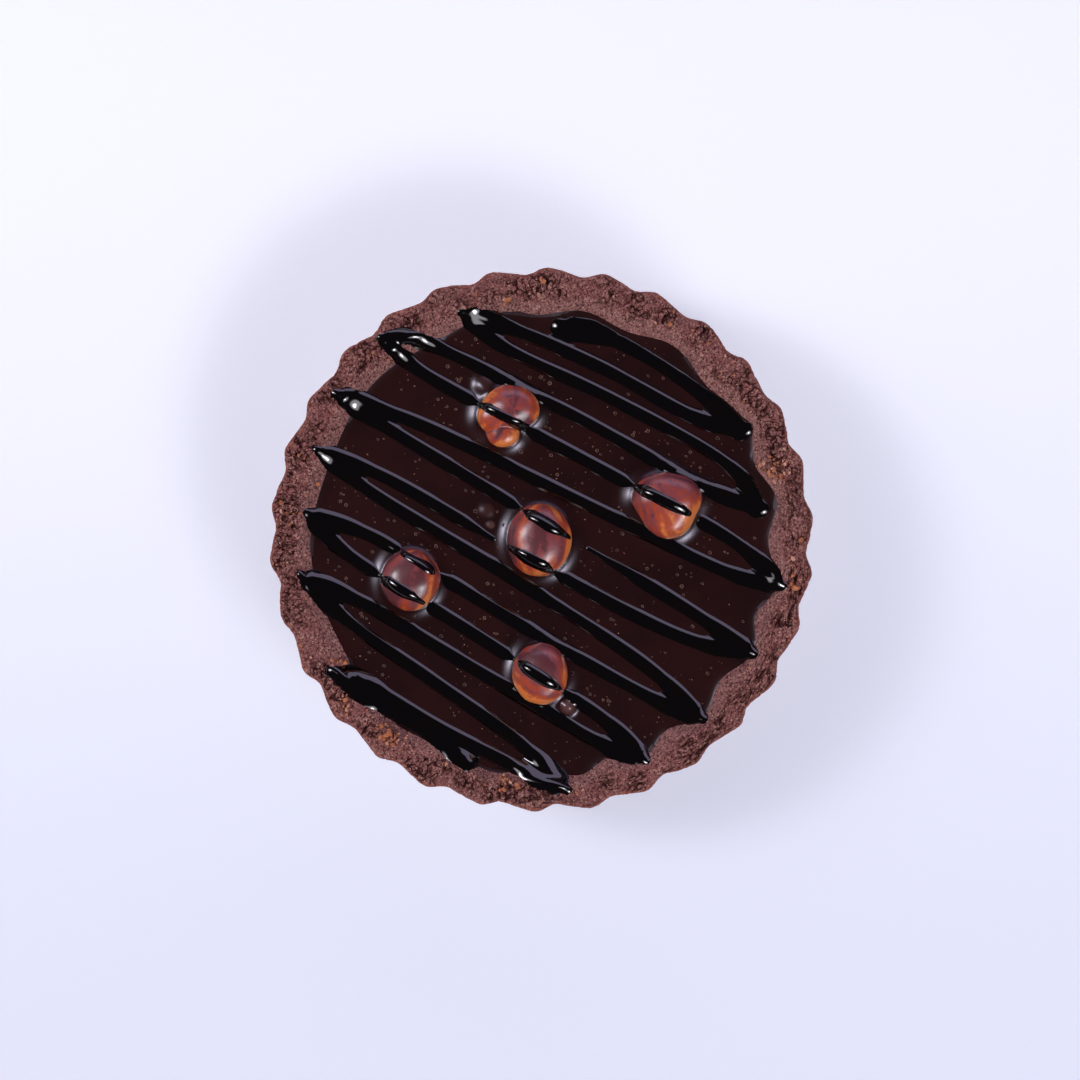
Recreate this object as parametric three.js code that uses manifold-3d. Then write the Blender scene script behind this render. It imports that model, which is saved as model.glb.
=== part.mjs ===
// A chocolate tart, 10 cm across: a fluted cocoa pastry case filled level with dark ganache.
// Five glazed hazelnuts are half sunk in the filling, and one line of thick black glaze zigzags
// over filling, nuts and rim. Units are millimetres. The origin is the middle of the base,
// +X to the right, +Y away from the viewer and +Z up.
import * as THREE from 'three';
import { mergeVertices } from 'three/addons/utils/BufferGeometryUtils.js';
import Module from 'manifold-3d';

const wasm = await Module();
wasm.setup();

// ---------------------------------------------------------------- driving dimensions

const rimRadius = 50.6; // mean radius of the case's outer edge, at the rim
const footRadius = 44; // mean radius of the wall where it meets the base
const rimHeight = 25.2; // mean height of the rough top of the rim
const lipHeight = 23.8; // height of the outer edge, the widest part
const footChamfer = 1.2; // the wall's rounded foot
const floorTop = 5; // upper face of the case's floor
const innerLean = 5.6; // how far the inside of the wall leans in, from top to floor
const fillLevel = 22.8; // level of the ganache
const edgeLevel = 23.1; // the ganache climbs to here where it meets the case
const plateRadius = 39.5; // of the level middle of the ganache's top
const plateSides = 20;
const clearance = 0.3; // between one piece and its neighbour

const fluteCount = 30;
const firstCrest = 4; // bearing of one flute's crest, degrees
const rimFluteDepth = 1.2; // crest to valley at the rim
const wallFluteDepth = 2; // crest to valley on the wall
const samplesPerFlute = 5;

// The dough was pressed outwards by a fingertip at these bearings, in degrees.
const presses = [10, 29, 56, 80, 101, 136, 183, 232, 258, 279, 295, 312, 332, 349];
const contactRadius = 43.4; // mean radius where the ganache meets the case

const strandWidth = 2.7; // of the glaze line where it runs straight
const strandHeight = 0.95; // above its widest part
const strandSink = 0.6; // below its widest part, bedded into what it lies on
const strandLift = 0.1; // height of its widest part above what it lies on
const strandSides = 6;
const strandStep = 9; // mean length of one facet, shorter near the turns
const tipSwell = 0.9; // extra width of the pool near a turn
const tipReach = 11; // length of that pool
const pinch = 1.1; // the line stops this far short of a nut's edge, on both sides
const glazeFoot = 1.5; // lowest bed of the line on a nut, above the filling

// The glaze line's turns, in order, as [x, y]: the knot on the strand that comes in, the tip, and
// the knot on the strand that leaves. A positive bow moves the middle of the leaving strand
// towards +Y, and a negative one towards -Y. blob is the extra width where the line starts or ends,
// and swell is the pool's extra width where it isn't the usual one.
const turns = [
  { enter: [11.5, 38.5], tip: [3.4, 40.0], leave: [11.5, 38.5], bow: 1.0, blob: 2.2 },
  { enter: [31.0, 26.7], tip: [38.0, 20.5], leave: [29.3, 23.0], bow: 0.9 },
  { enter: [-7.3, 40.5], tip: [-15.2, 42.6], leave: [-7.5, 36.7], bow: 1.0 },
  { enter: [36.4, 13.1], tip: [41.4, 5.8], leave: [31.8, 9.5], bow: 1.0 },
  { enter: [-24.4, 37.9], tip: [-30.3, 38.0], leave: [-23.6, 32.4], bow: 0, swell: -0.3 },
  { enter: [37.6, -1.2], tip: [45.1, -8.7], leave: [36.3, -6.5], bow: 0 },
  { enter: [-24.6, 22.6], tip: [-38.8, 27.5], leave: [-28.1, 20.6], bow: 0 },
  { enter: [28.4, -13.6], tip: [39.9, -21.5], leave: [28.2, -18.9], bow: -0.9 },
  { enter: [-30.4, 12.3], tip: [-42.2, 16.8], leave: [-32.1, 9.1], bow: 0.6 },
  { enter: [20.9, -24.7], tip: [30.3, -33.7], leave: [23.0, -30.9], bow: -0.4 },
  { enter: [-32.4, 0.9], tip: [-44.1, 5.0], leave: [-37.7, -1.8], bow: 0.3 },
  { enter: [12.3, -34.3], tip: [19.6, -41.4], leave: [12.1, -38.8], bow: 0 },
  { enter: [-34.5, -11.5], tip: [-45.2, -6.5], leave: [-37.0, -14.9], bow: 0 },
  { enter: [-4.5, -38.0], tip: [4.9, -47.2], leave: [-1.5, -44.2], bow: -0.7 },
  { enter: [-33.4, -27.1], tip: [-39.4, -24.6], leave: [-33.5, -29.0], bow: 0 },
  { enter: [-18.7, -37.6], tip: [-14.0, -41.8], leave: [-18.7, -37.6], bow: 0, blob: 1.4 },
];

// Each hazelnut is one or more round lobes: middle x, y and half sizes along X and Y. A whole nut is
// drawn tight round its lobes, and the cracked one keeps the creases between them.
const hazelnuts = [
  [
    { x: -5.8, y: 24.7, rx: 5.7, ry: 4.4 },
    { x: -8.9, y: 23.2, rx: 3.5, ry: 3.2 },
    { x: -7.2, y: 19.9, rx: 3.2, ry: 2.7 },
  ],
  [
    { x: 23.5, y: 7.9, rx: 6.75, ry: 4.9 },
    { x: 23.8, y: 4.6, rx: 4.9, ry: 4.5 },
  ],
  [{ x: -0.5, y: -0.1, rx: 6.2, ry: 6.9 }],
  [{ x: -24.8, y: -7.6, rx: 5.6, ry: 6.0 }],
  [{ x: -0.3, y: -25.3, rx: 5.3, ry: 6.0 }],
];
const crackedNut = hazelnuts[0];
const nutTallness = 0.95; // a nut's upright half size, of its mean half size across
const nutSink = 0.1; // how far its middle lies below the filling, of that half size
const nutSides = 15;
const collarHeight = 0.5; // the ganache climbs this far up each nut
const collarWidth = 1.8;

// Chips of nut coated by the filling: middle x, y and radius.
const coatedChips = [
  { x: -11.0, y: 29.2, radius: 1.9 },
  { x: 5.0, y: -31.5, radius: 1.7 },
  { x: -10.3, y: 5.5, radius: 1.6 },
];

const cocoaPastry = new THREE.MeshStandardMaterial({ color: 0x6b4544, roughness: 0.9, metalness: 0 });
const darkGanache = new THREE.MeshStandardMaterial({ color: 0x220f10, roughness: 0.3, metalness: 0 });
const glazedNut = new THREE.MeshStandardMaterial({ color: 0x7a3722, roughness: 0.15, metalness: 0 });

// ---------------------------------------------------------------- helpers

const rad = THREE.MathUtils.degToRad;
const { lerp, clamp } = THREE.MathUtils;

// A closed three.js geometry as a solid that can be joined and cut.
function toSolid(geometry) {
  const bare = geometry.clone();
  bare.deleteAttribute('normal');
  bare.deleteAttribute('uv');
  const merged = mergeVertices(bare, 1e-4);
  const corners = merged.index.array;
  const triangles = [];
  for (let i = 0; i < corners.length; i += 3) {
    const [a, b, c] = [corners[i], corners[i + 1], corners[i + 2]];
    if (a !== b && b !== c && c !== a) triangles.push(a, b, c);
  }
  const vertProperties = new Float32Array(merged.attributes.position.array);
  const triVerts = new Uint32Array(triangles);
  return new wasm.Manifold(new wasm.Mesh({ numProp: 3, vertProperties, triVerts }));
}

function toGeometry(solid) {
  const mesh = solid.getMesh();
  const geometry = new THREE.BufferGeometry();
  geometry.setAttribute('position', new THREE.BufferAttribute(mesh.vertProperties, 3));
  geometry.setIndex(new THREE.BufferAttribute(mesh.triVerts, 1));
  geometry.computeVertexNormals();
  return geometry;
}

function addMesh(group, name, solid, material) {
  const mesh = new THREE.Mesh(toGeometry(solid), material);
  mesh.name = name;
  group.add(mesh);
}

function joinAll(solids) {
  return solids.reduce((whole, solid) => whole.add(solid));
}

// The largest body of a solid, without the scraps that a cut leaves loose.
function mainBody(solid) {
  return solid.decompose().reduce((best, body) => (body.volume() > best.volume() ? body : best));
}

// A round solid from rings that each give radius and height at a bearing in radians. The first
// and last ring are points on the axis. The lathe gives the faces, and the rings their places.
function turnedSolid(rings) {
  const profile = rings.map((_, i) => {
    const onAxis = i === 0 || i === rings.length - 1;
    return new THREE.Vector2(onAxis ? 0 : 1, i);
  });
  const geometry = new THREE.LatheGeometry(profile, fluteCount * samplesPerFlute);
  const position = geometry.attributes.position;
  for (let i = 0; i < position.count; i++) {
    const onAxis = Math.hypot(position.getX(i), position.getZ(i)) < 0.5;
    const bearing = onAxis ? 0 : Math.atan2(position.getX(i), position.getZ(i)) + rad(firstCrest);
    const [radius, height] = rings[Math.round(position.getY(i))](bearing);
    const reach = onAxis ? 0 : radius;
    position.setXYZ(i, reach * Math.cos(bearing), reach * Math.sin(bearing), height);
  }
  return toSolid(geometry);
}

// ---------------------------------------------------------------- pastry case

// One wave for each flute, with a quick rise and a slower fall as the bearing grows.
function flute(bearing) {
  const phase = fluteCount * (bearing - rad(firstCrest));
  return (Math.cos(phase) + 0.2 * Math.sin(2 * phase)) / 2;
}

// Uneven waves round the case, between about -1 and 1, for torn dough.
function uneven(bearing, shift) {
  return (
    0.35 * Math.sin(7 * bearing + shift) +
    0.3 * Math.sin(17 * bearing + 2.3 * shift) +
    0.25 * Math.sin(43 * bearing + 4.1 * shift)
  );
}

// How the inner edge goes out at a fingertip press (1) and in between two presses (-1).
function pressed(bearing) {
  const degrees = ((((bearing * 180) / Math.PI) % 360) + 360) % 360;
  const next = presses.findIndex((press) => press > degrees);
  const before = next > 0 ? presses[next - 1] : presses.at(-1) - (next === 0 ? 360 : 0);
  const after = next >= 0 ? presses[next] : presses[0] + 360;
  return Math.cos((2 * Math.PI * (degrees - before)) / (after - before));
}

// Where the ganache meets the case. The presses are deepest, and the wall thinnest, on the right.
function contact(bearing) {
  const middle = contactRadius + 0.6 * Math.cos(bearing - rad(310));
  const depth = 0.8 + 0.36 * Math.cos(bearing - rad(335));
  return middle + depth * pressed(bearing);
}

function rimEdge(bearing) {
  return rimRadius + rimFluteDepth * flute(bearing) + 0.2 * uneven(bearing, 5);
}

// The top of the case at a bearing, from the ganache's edge out to the lip, as [radius, height]:
// the smooth inner slope, then the rough torn top.
function rimTop(bearing) {
  const inner = contact(bearing);
  const outer = rimEdge(bearing);
  const at = (share) => lerp(inner, outer, share);
  return [
    [inner, edgeLevel],
    [at(0.18), lerp(edgeLevel, rimHeight, 0.55)],
    [at(0.38), rimHeight - 0.3 + 0.25 * uneven(bearing, 1)],
    [at(0.6), rimHeight + 0.45 * uneven(bearing, 2)],
    [at(0.84), rimHeight - 0.1 + 0.45 * uneven(bearing, 3)],
    [outer, lipHeight + 0.3 * uneven(bearing, 4)],
  ];
}

// The fluted outside of the wall, which leans outwards up to the lip.
function wall(bearing, height) {
  const lean = height / lipHeight;
  const depth = lerp(wallFluteDepth, rimFluteDepth, Math.max(0, 4 * lean - 3));
  return [lerp(footRadius, rimRadius, lean) + depth * flute(bearing), height];
}

// The inside of the case, shrunk by gap: floor edge at share 0, the ganache's edge at share 1.
function cavity(bearing, share, gap) {
  const radius = contact(bearing) - innerLean * (1 - share) - gap;
  return [radius, lerp(floorTop + gap, edgeLevel, share)];
}

function pastryCase() {
  const top = (i) => (bearing) => rimTop(bearing)[i];
  return turnedSolid([
    () => [0, 0],
    (bearing) => [wall(bearing, 0)[0] - footChamfer, 0],
    (bearing) => wall(bearing, footChamfer),
    (bearing) => wall(bearing, 0.75 * lipHeight),
    (bearing) => wall(bearing, 0.93 * lipHeight),
    top(5),
    top(4),
    top(3),
    top(2),
    top(1),
    top(0),
    (bearing) => cavity(bearing, 0, 0),
    () => [0, floorTop],
  ]);
}

// ---------------------------------------------------------------- filling and nuts

// The ganache under its level top, which is a plate with few sides over a very shallow dish.
function filling() {
  const body = turnedSolid([
    () => [0, floorTop + clearance],
    (bearing) => cavity(bearing, 0, clearance),
    (bearing) => cavity(bearing, 1, clearance),
    (bearing) => [contact(bearing) - 1.5, fillLevel],
    () => [0, fillLevel - 1],
  ]);
  const plate = new THREE.CylinderGeometry(plateRadius, plateRadius, 2, plateSides);
  plate.rotateX(Math.PI / 2);
  plate.translate(0, 0, fillLevel - 1);
  return body.add(toSolid(plate));
}

// The upper part of the filling's space and all that is straight above it, shrunk by gap.
function overFilling(gap) {
  const above = fillLevel + 20;
  return turnedSolid([
    () => cavity(0, 0.8, gap).with(0, 0),
    (bearing) => cavity(bearing, 0.8, gap),
    (bearing) => cavity(bearing, 1, gap),
    (bearing) => cavity(bearing, 1, gap).with(1, above),
    () => [0, above],
  ]);
}

function upright({ rx, ry }) {
  return (nutTallness * (rx + ry)) / 2;
}

function lobeMiddle(lobe) {
  return fillLevel - nutSink * upright(lobe);
}

// A hazelnut, grown by grow all round. The grown one cuts its socket. Its sunk half has few faces.
function hazelnut(lobes, grow = 0) {
  const profile = [-90, -40, 0, 20, 42, 66, 90].map((degrees) => {
    return new THREE.Vector2(Math.cos(rad(degrees)), Math.sin(rad(degrees)));
  });
  const balls = lobes.map((lobe) => {
    const ball = new THREE.LatheGeometry(profile, nutSides);
    ball.rotateX(Math.PI / 2);
    ball.scale(lobe.rx + grow, lobe.ry + grow, upright(lobe) + grow);
    ball.translate(lobe.x, lobe.y, lobeMiddle(lobe));
    return toSolid(ball);
  });
  return lobes === crackedNut ? joinAll(balls) : wasm.Manifold.hull(balls);
}

// The low collar of ganache that climbs one lobe of a nut.
function collar(lobe) {
  const ring = new THREE.CylinderGeometry(1, 1, 2 * collarHeight, nutSides);
  const position = ring.attributes.position;
  for (let i = 0; i < position.count; i++) {
    const onTop = position.getY(i) > 0;
    const spread = onTop ? 0.4 : 2 * collarWidth;
    const [x, y] = [position.getZ(i), position.getX(i)];
    position.setXYZ(
      i,
      lobe.x + x * (lobe.rx + spread),
      lobe.y + y * (lobe.ry + spread),
      fillLevel + (onTop ? collarHeight : -collarHeight),
    );
  }
  return toSolid(ring);
}

function coatedChip({ x, y, radius }) {
  const ball = new THREE.SphereGeometry(radius, 12, 8);
  ball.translate(x, y, fillLevel - 0.2 * radius);
  return toSolid(ball);
}

// ---------------------------------------------------------------- glaze line

// The top of filling and case at a place, which the line lies on.
function bedHeight(x, y) {
  const radius = Math.hypot(x, y);
  const profile = [[0, fillLevel], ...rimTop(Math.atan2(y, x))];
  const next = profile.findIndex(([at]) => at > radius);
  if (next < 0) return profile.at(-1)[1];
  const [[r0, z0], [r1, z1]] = [profile[next - 1], profile[next]];
  return next === 1 ? fillLevel : lerp(z0, z1, (radius - r0) / (r1 - r0));
}

function lobeTop(lobe, x, y) {
  const outwards = ((x - lobe.x) / lobe.rx) ** 2 + ((y - lobe.y) / lobe.ry) ** 2;
  return outwards < 1 ? lobeMiddle(lobe) + upright(lobe) * Math.sqrt(1 - outwards) : -Infinity;
}

function nutTop(lobes, x, y) {
  return Math.max(...lobes.map((lobe) => lobeTop(lobe, x, y)));
}

// The middle line of the strand that leaves turn number i.
function strandCurve(i) {
  const [from, to] = [turns[i], turns[i + 1]];
  const run = new THREE.Vector2(to.enter[0] - from.leave[0], to.enter[1] - from.leave[1]);
  const across = new THREE.Vector2(-run.y, run.x).normalize();
  const side = run.x > 0 ? from.bow : -from.bow;
  const middle = [0, 1].map((k) => {
    return (from.leave[k] + to.enter[k]) / 2 + side * across.getComponent(k);
  });
  const knots = [from.tip, from.leave, middle, to.enter, to.tip];
  return new THREE.CatmullRomCurve3(knots.map(([x, y]) => new THREE.Vector3(x, y, 0)));
}

// Width of the line at a length along its strand: a pool near each turn, pointed tips, and the
// blob of a start or end, which thins out over the length of a pool.
function widthAt({ whole, ends }, length) {
  const { blob = 0, swell = tipSwell } = length < whole / 2 ? ends[0] : ends[1];
  const fromTip = Math.min(length, whole - length);
  const near = clamp(fromTip / tipReach, 0, 1);
  const point = lerp(0.65, 1, clamp(fromTip / 2.5, 0, 1));
  return point * (strandWidth + swell * Math.sin(Math.PI * near) + blob * (1 - near));
}

// A stretch of a strand, between two shares of its length, lying on the height that bed gives:
// a capsule bent along the curve, half round above and flatter below.
function stretch(strand, from, to, bed, slim = 1) {
  const { curve, whole } = strand;
  const steps = Math.max(2, Math.round(((to - from) * whole) / strandStep));
  const geometry = new THREE.CapsuleGeometry(1, 1, 1, strandSides, steps);
  const position = geometry.attributes.position;
  for (let i = 0; i < position.count; i++) {
    const share = clamp(position.getY(i) + 0.5, 0, 1);
    const past = position.getY(i) + 0.5 - share;
    const u = lerp(from, to, (1 - Math.cos(Math.PI * share)) / 2);
    const tangent = curve.getTangentAt(u);
    const half = (slim * widthAt(strand, u * whole)) / 2;
    const middle = curve.getPointAt(u).addScaledVector(tangent, past * half);
    const across = new THREE.Vector3(tangent.y, -tangent.x, 0);
    const place = middle.clone().addScaledVector(across, position.getX(i) * half);
    const up = position.getZ(i) * (position.getZ(i) > 0 ? slim * strandHeight : strandSink);
    position.setXYZ(i, place.x, place.y, bed(middle.x, middle.y) + strandLift + up);
  }
  return toSolid(geometry);
}

// The shares of a strand between which it lies over a nut, or null where it misses the nut.
function crossing(curve, lobes) {
  const shares = [...Array(201).keys()].map((k) => k / 200);
  const over = shares.filter((u) => {
    const point = curve.getPointAt(u);
    return nutTop(lobes, point.x, point.y) > fillLevel + glazeFoot;
  });
  return over.length > 8 ? [over[0], over.at(-1)] : null;
}

// The whole line, parted into what lies on filling and case and what lies on each nut.
function glazeLine() {
  const onBed = [];
  const onNut = hazelnuts.map(() => []);
  for (let i = 0; i + 1 < turns.length; i++) {
    const curve = strandCurve(i);
    const whole = curve.getLength();
    const strand = { curve, whole, ends: [turns[i], turns[i + 1]] };
    const gap = pinch / whole;
    const breaks = [];
    hazelnuts.forEach((lobes, n) => {
      const shares = crossing(curve, lobes);
      if (!shares) return;
      breaks.push(shares);
      const bed = (x, y) => Math.max(nutTop(lobes, x, y), fillLevel + glazeFoot);
      onNut[n].push(stretch(strand, shares[0] + gap, shares[1] - gap, bed, 0.75));
    });
    breaks.sort((a, b) => a[0] - b[0]);
    let start = 0;
    for (const [from, to] of [...breaks, [1 + gap, 1]]) {
      onBed.push(stretch(strand, start, from - gap, bedHeight));
      start = to + gap;
    }
  }
  return { onBed: joinAll(onBed), onNut };
}

// ---------------------------------------------------------------- the tart

function buildTart() {
  const tart = new THREE.Group();
  const glaze = glazeLine();
  const sockets = joinAll(hazelnuts.map((lobes) => hazelnut(lobes, clearance)));

  const glazedCase = pastryCase().add(glaze.onBed.subtract(overFilling(0)));
  addMesh(tart, 'crust', mainBody(glazedCase), cocoaPastry);

  const collars = joinAll(hazelnuts.flatMap((lobes) => lobes.map(collar)));
  const chips = joinAll(coatedChips.map(coatedChip));
  const dressing = joinAll([glaze.onBed, collars, chips]).intersect(overFilling(clearance));
  const ganache = filling().add(dressing).subtract(sockets);
  addMesh(tart, 'ganache', mainBody(ganache), darkGanache);

  hazelnuts.forEach((lobes, n) => {
    const nut = joinAll([hazelnut(lobes), ...glaze.onNut[n]]);
    addMesh(tart, `hazelnut_${n + 1}`, mainBody(nut), glazedNut);
  });
  return tart;
}

export default buildTart();
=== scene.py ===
"""A chocolate tart, 10 cm across: a fluted cocoa pastry case filled level with dark ganache.

Five glazed hazelnuts are half sunk in the filling, and one line of thick black glaze zigzags over
filling, nuts and rim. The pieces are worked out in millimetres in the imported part's own frame
(+X right, +Y away, +Z up, origin in the middle of the base) and put into Blender in metres.
"""

import logging
import math
from dataclasses import dataclass, field
from enum import Enum
from functools import partial, reduce
from typing import Callable, Iterator, Sequence

import bpy
import numpy as np
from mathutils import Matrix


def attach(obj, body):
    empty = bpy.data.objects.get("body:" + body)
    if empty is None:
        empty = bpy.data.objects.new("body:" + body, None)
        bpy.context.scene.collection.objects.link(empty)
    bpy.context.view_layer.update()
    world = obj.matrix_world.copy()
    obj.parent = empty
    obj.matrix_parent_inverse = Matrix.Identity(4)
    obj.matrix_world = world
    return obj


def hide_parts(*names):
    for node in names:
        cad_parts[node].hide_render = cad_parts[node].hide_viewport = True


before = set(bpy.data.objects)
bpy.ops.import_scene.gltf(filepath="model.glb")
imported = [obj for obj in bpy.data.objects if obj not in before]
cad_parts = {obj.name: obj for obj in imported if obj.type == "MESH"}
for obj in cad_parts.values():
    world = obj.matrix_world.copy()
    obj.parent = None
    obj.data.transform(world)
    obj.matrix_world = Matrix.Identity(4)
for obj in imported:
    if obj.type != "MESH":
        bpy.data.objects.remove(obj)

log = logging.getLogger("tart")

MM = 0.001
TAU = 2 * math.pi
TINY = 1e-9
BODY = "root"
FILL_LEVEL = 22.8
Array = np.ndarray
Pair = tuple[float, float]
Triple = tuple[float, float, float]
Colour = Triple
Socket = bpy.types.NodeSocket
Material = bpy.types.Material
Piece = bpy.types.Object
PlanField = Callable[[Array, Array], Array]
Ring = tuple[Array | float, Array | float, float]


class Slot(Enum):
    """The record's material slots."""

    PASTRY = "cocoa_pastry"
    GANACHE = "dark_ganache"
    NUT = "glazed_hazelnut"


# ------------------------------------------------------------------------------ small mathematics


def mix(a: Array | float, b: Array | float, share: Array | float) -> Array:
    """Straight blend from a at share 0 to b at share 1."""
    return a + (b - a) * share


def ease(x: Array, low: float = 0.0, high: float = 1.0) -> Array:
    """Smooth step from 0 where x is low to 1 where x is high."""
    t = np.clip((x - low) / (high - low), 0.0, 1.0)
    return t * t * (3 - 2 * t)


def smooth_least(a: Array, b: Array, reach: float) -> Array:
    """The lesser of a and b, with the corner between them rounded over reach."""
    near = np.maximum(reach - np.abs(a - b), 0.0) / reach
    return np.minimum(a, b) - near * near * reach / 4


def leaning(bearing: Array, amount: float, side: float) -> Array:
    """The amount at the bearing side, in degrees, and less of it away from there, as a cosine."""
    return amount * np.cos(bearing - math.radians(side))


def polar(radius: Array | float, bearing: Array, height: Array | float) -> Array:
    """Places at a radius and a bearing round the upright axis, and at a height."""
    return np.stack([radius * np.cos(bearing), radius * np.sin(bearing), height + 0 * bearing], -1)


def lattice(cell: Array, seed: int) -> Array:
    """A fixed random number from 0 to 1 for each whole-number lattice point.

    Args:
        cell: whole numbers, the last axis being the three coordinates.
        seed: picks one of many such lattices.

    Returns:
        One number for each point, from an integer hash.
    """
    c = cell.astype(np.int64)
    h = c[..., 0] * 374761393 + c[..., 1] * 668265263 + c[..., 2] * 1442695041 + seed * 974634777
    h = (h ^ (h >> 13)) & 0xFFFFFFFF
    h = (h * 1274126177) & 0xFFFFFFFF
    h = h ^ (h >> 16)
    h = (h * 2246822519) & 0xFFFFFFFF
    return (h ^ (h >> 15)) / 0xFFFFFFFF


def corners(share: Array) -> Iterator[tuple[Array, Array]]:
    """The eight corners of a cell, and the weight of each at places inside the cell.

    A weight is a product over the three axes: of share on the corner's high side, and of one less
    share on its low side.

    Args:
        share: (..., 3) places in their cells, from 0 to 1.

    Yields:
        A corner, as three noughts and ones, and its (...) weights.
    """
    for corner in range(8):
        step = np.array([corner & 1, corner >> 1 & 1, corner >> 2 & 1])
        yield step, np.prod(np.where(step, share, 1 - share), axis=-1)


def value_noise(points: Array, size: float, seed: int) -> Array:
    """Smooth random field: each cell's eight corner numbers, blended with the eased place in it.

    Args:
        points: (..., 3) places.
        size: edge of a cell, and so about the size of the lumps.
        seed: picks one of many such fields.

    Returns:
        (...) numbers from -1 to 1.
    """
    p = points / size
    base = np.floor(p).astype(np.int64)
    total = np.zeros(p.shape[:-1])
    for step, weight in corners(ease(p - base)):
        total += weight * lattice(base + step, seed)
    return 2 * total - 1


def fractal(points: Array, size: float, octaves: int, seed: int) -> Array:
    """Sum of value noises, each half the size and half the height of the one before."""
    return sum(value_noise(points, size / 2**k, seed + 17 * k) / 2**k for k in range(octaves))


def nearest_cell(points: Array, size: float, seed: int) -> Array:
    """Distance to the nearest of one random point in each cell, the 27 cells round it searched.

    Args:
        points: (..., 3) places.
        size: edge of a cell.
        seed: picks one of many such sets of random points.

    Returns:
        (...) distances, as shares of size.
    """
    p = points / size
    base = np.floor(p).astype(np.int64)
    best = np.full(p.shape[:-1], np.inf)
    for step in np.ndindex(3, 3, 3):
        cell = base + np.array(step) - 1
        spot = np.stack([lattice(cell, seed + k) for k in range(3)], axis=-1)
        best = np.minimum(best, np.linalg.norm(cell + spot - p, axis=-1))
    return best


def curve_through(knots: Array, step: float) -> Array:
    """Points about a step apart on a smooth curve through knots.

    A centripetal Catmull-Rom spline: each span is the cubic whose end slopes come from the spans on
    both sides, weighted by the square roots of their lengths.

    Args:
        knots: (n, 2) places, in order.
        step: distance between the points that come back.

    Returns:
        (m, 2) places, from the first knot to the last.
    """
    ghosts = [2 * knots[0] - knots[1], *knots, 2 * knots[-1] - knots[-2]]
    t = np.linspace(0, 1, 200)[:, None]
    dense = []
    for p0, p1, p2, p3 in zip(ghosts, ghosts[1:], ghosts[2:], ghosts[3:]):
        d0, d1, d2 = (math.sqrt(np.linalg.norm(b - a)) for a, b in ((p0, p1), (p1, p2), (p2, p3)))
        slope1 = ((p1 - p0) / d0 - (p2 - p0) / (d0 + d1) + (p2 - p1) / d1) * d1
        slope2 = ((p2 - p1) / d1 - (p3 - p1) / (d1 + d2) + (p3 - p2) / d2) * d1
        dense.append(mix(p1, p2, ease(t)) + t * (1 - t) ** 2 * slope1 - t * t * (1 - t) * slope2)
    line = np.concatenate(dense)
    along = np.concatenate([[0], np.cumsum(np.linalg.norm(np.diff(line, axis=0), axis=1))])
    marks = np.linspace(0, along[-1], max(3, round(along[-1] / step) + 1))
    return np.stack([np.interp(marks, along, line[:, k]) for k in range(2)], axis=1)


# ---------------------------------------------------------------------------------------- meshes


def put_object(name: str, data: bpy.types.ID) -> Piece:
    """Puts a mesh, lamp or camera into the scene.

    Args:
        name: the object's name.
        data: the mesh, lamp or camera.

    Returns:
        The object, at the origin.
    """
    thing = bpy.data.objects.new(name, data)
    bpy.context.scene.collection.objects.link(thing)
    return thing


def put_mesh(
    name: str,
    places: Array,
    faces: Array,
    material: Material,
    smooth: bool = True,
    marks: dict[str, Array] | None = None,
) -> Piece:
    """Makes one object of the part from arrays.

    Args:
        name: the object's name.
        places: (n, 3) vertex places in mm.
        faces: (m, 3) or (m, 4) vertex numbers, anticlockwise seen from outside.
        material: its finish.
        smooth: whether the faces shade as one surface.
        marks: numbers for each vertex that the material reads, by name.

    Returns:
        The object, riding on the part's body.
    """
    sides = faces.shape[1]
    mesh = bpy.data.meshes.new(name)
    mesh.vertices.add(len(places))
    mesh.vertices.foreach_set("co", (places * MM).astype(np.float32).ravel())
    mesh.loops.add(faces.size)
    mesh.loops.foreach_set("vertex_index", faces.astype(np.int32).ravel())
    mesh.polygons.add(len(faces))
    mesh.polygons.foreach_set("loop_start", np.arange(0, faces.size, sides, dtype=np.int32))
    mesh.polygons.foreach_set("use_smooth", np.full(len(faces), smooth))
    mesh.update(calc_edges=True)
    mesh.validate()
    for mark, values in (marks or {}).items():
        layer = mesh.attributes.new(mark, "FLOAT", "POINT")
        layer.data.foreach_set("value", values.astype(np.float32).ravel())
    mesh.materials.append(material)
    piece = put_object(name, mesh)
    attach(piece, BODY)
    log.info("%s: %d vertices, %d faces", name, len(places), len(faces))
    return piece


def halved(a: Array, b: Array, c: Array, d: Array) -> Array:
    """Two triangles for each four-sided face with the corners a, b, c and d."""
    return np.concatenate([np.stack(half, -1).reshape(-1, 3) for half in ((a, b, c), (a, c, d))])


def lathe_faces(rows: int, columns: int) -> Array:
    """Triangles of a closed turned surface with a pole at each end.

    The vertices are the first pole, then the rings from bottom to top on the outside, then the last
    pole. Each ring goes anticlockwise seen from above.

    Args:
        rows: number of rings between the poles.
        columns: vertices in each ring.

    Returns:
        (m, 3) vertex numbers, facing outwards.
    """
    column = np.arange(columns)
    after = (column + 1) % columns
    ring = 1 + np.arange(rows - 1)[:, None] * columns
    wall = halved(ring + column, ring + after, ring + after + columns, ring + column + columns)
    first = np.stack([np.zeros(columns, int), 1 + after, 1 + column], axis=-1)
    top = 1 + (rows - 1) * columns
    last = np.stack([top + column, top + after, np.full(columns, top + columns)], axis=-1)
    return np.concatenate([first, wall, last])


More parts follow.
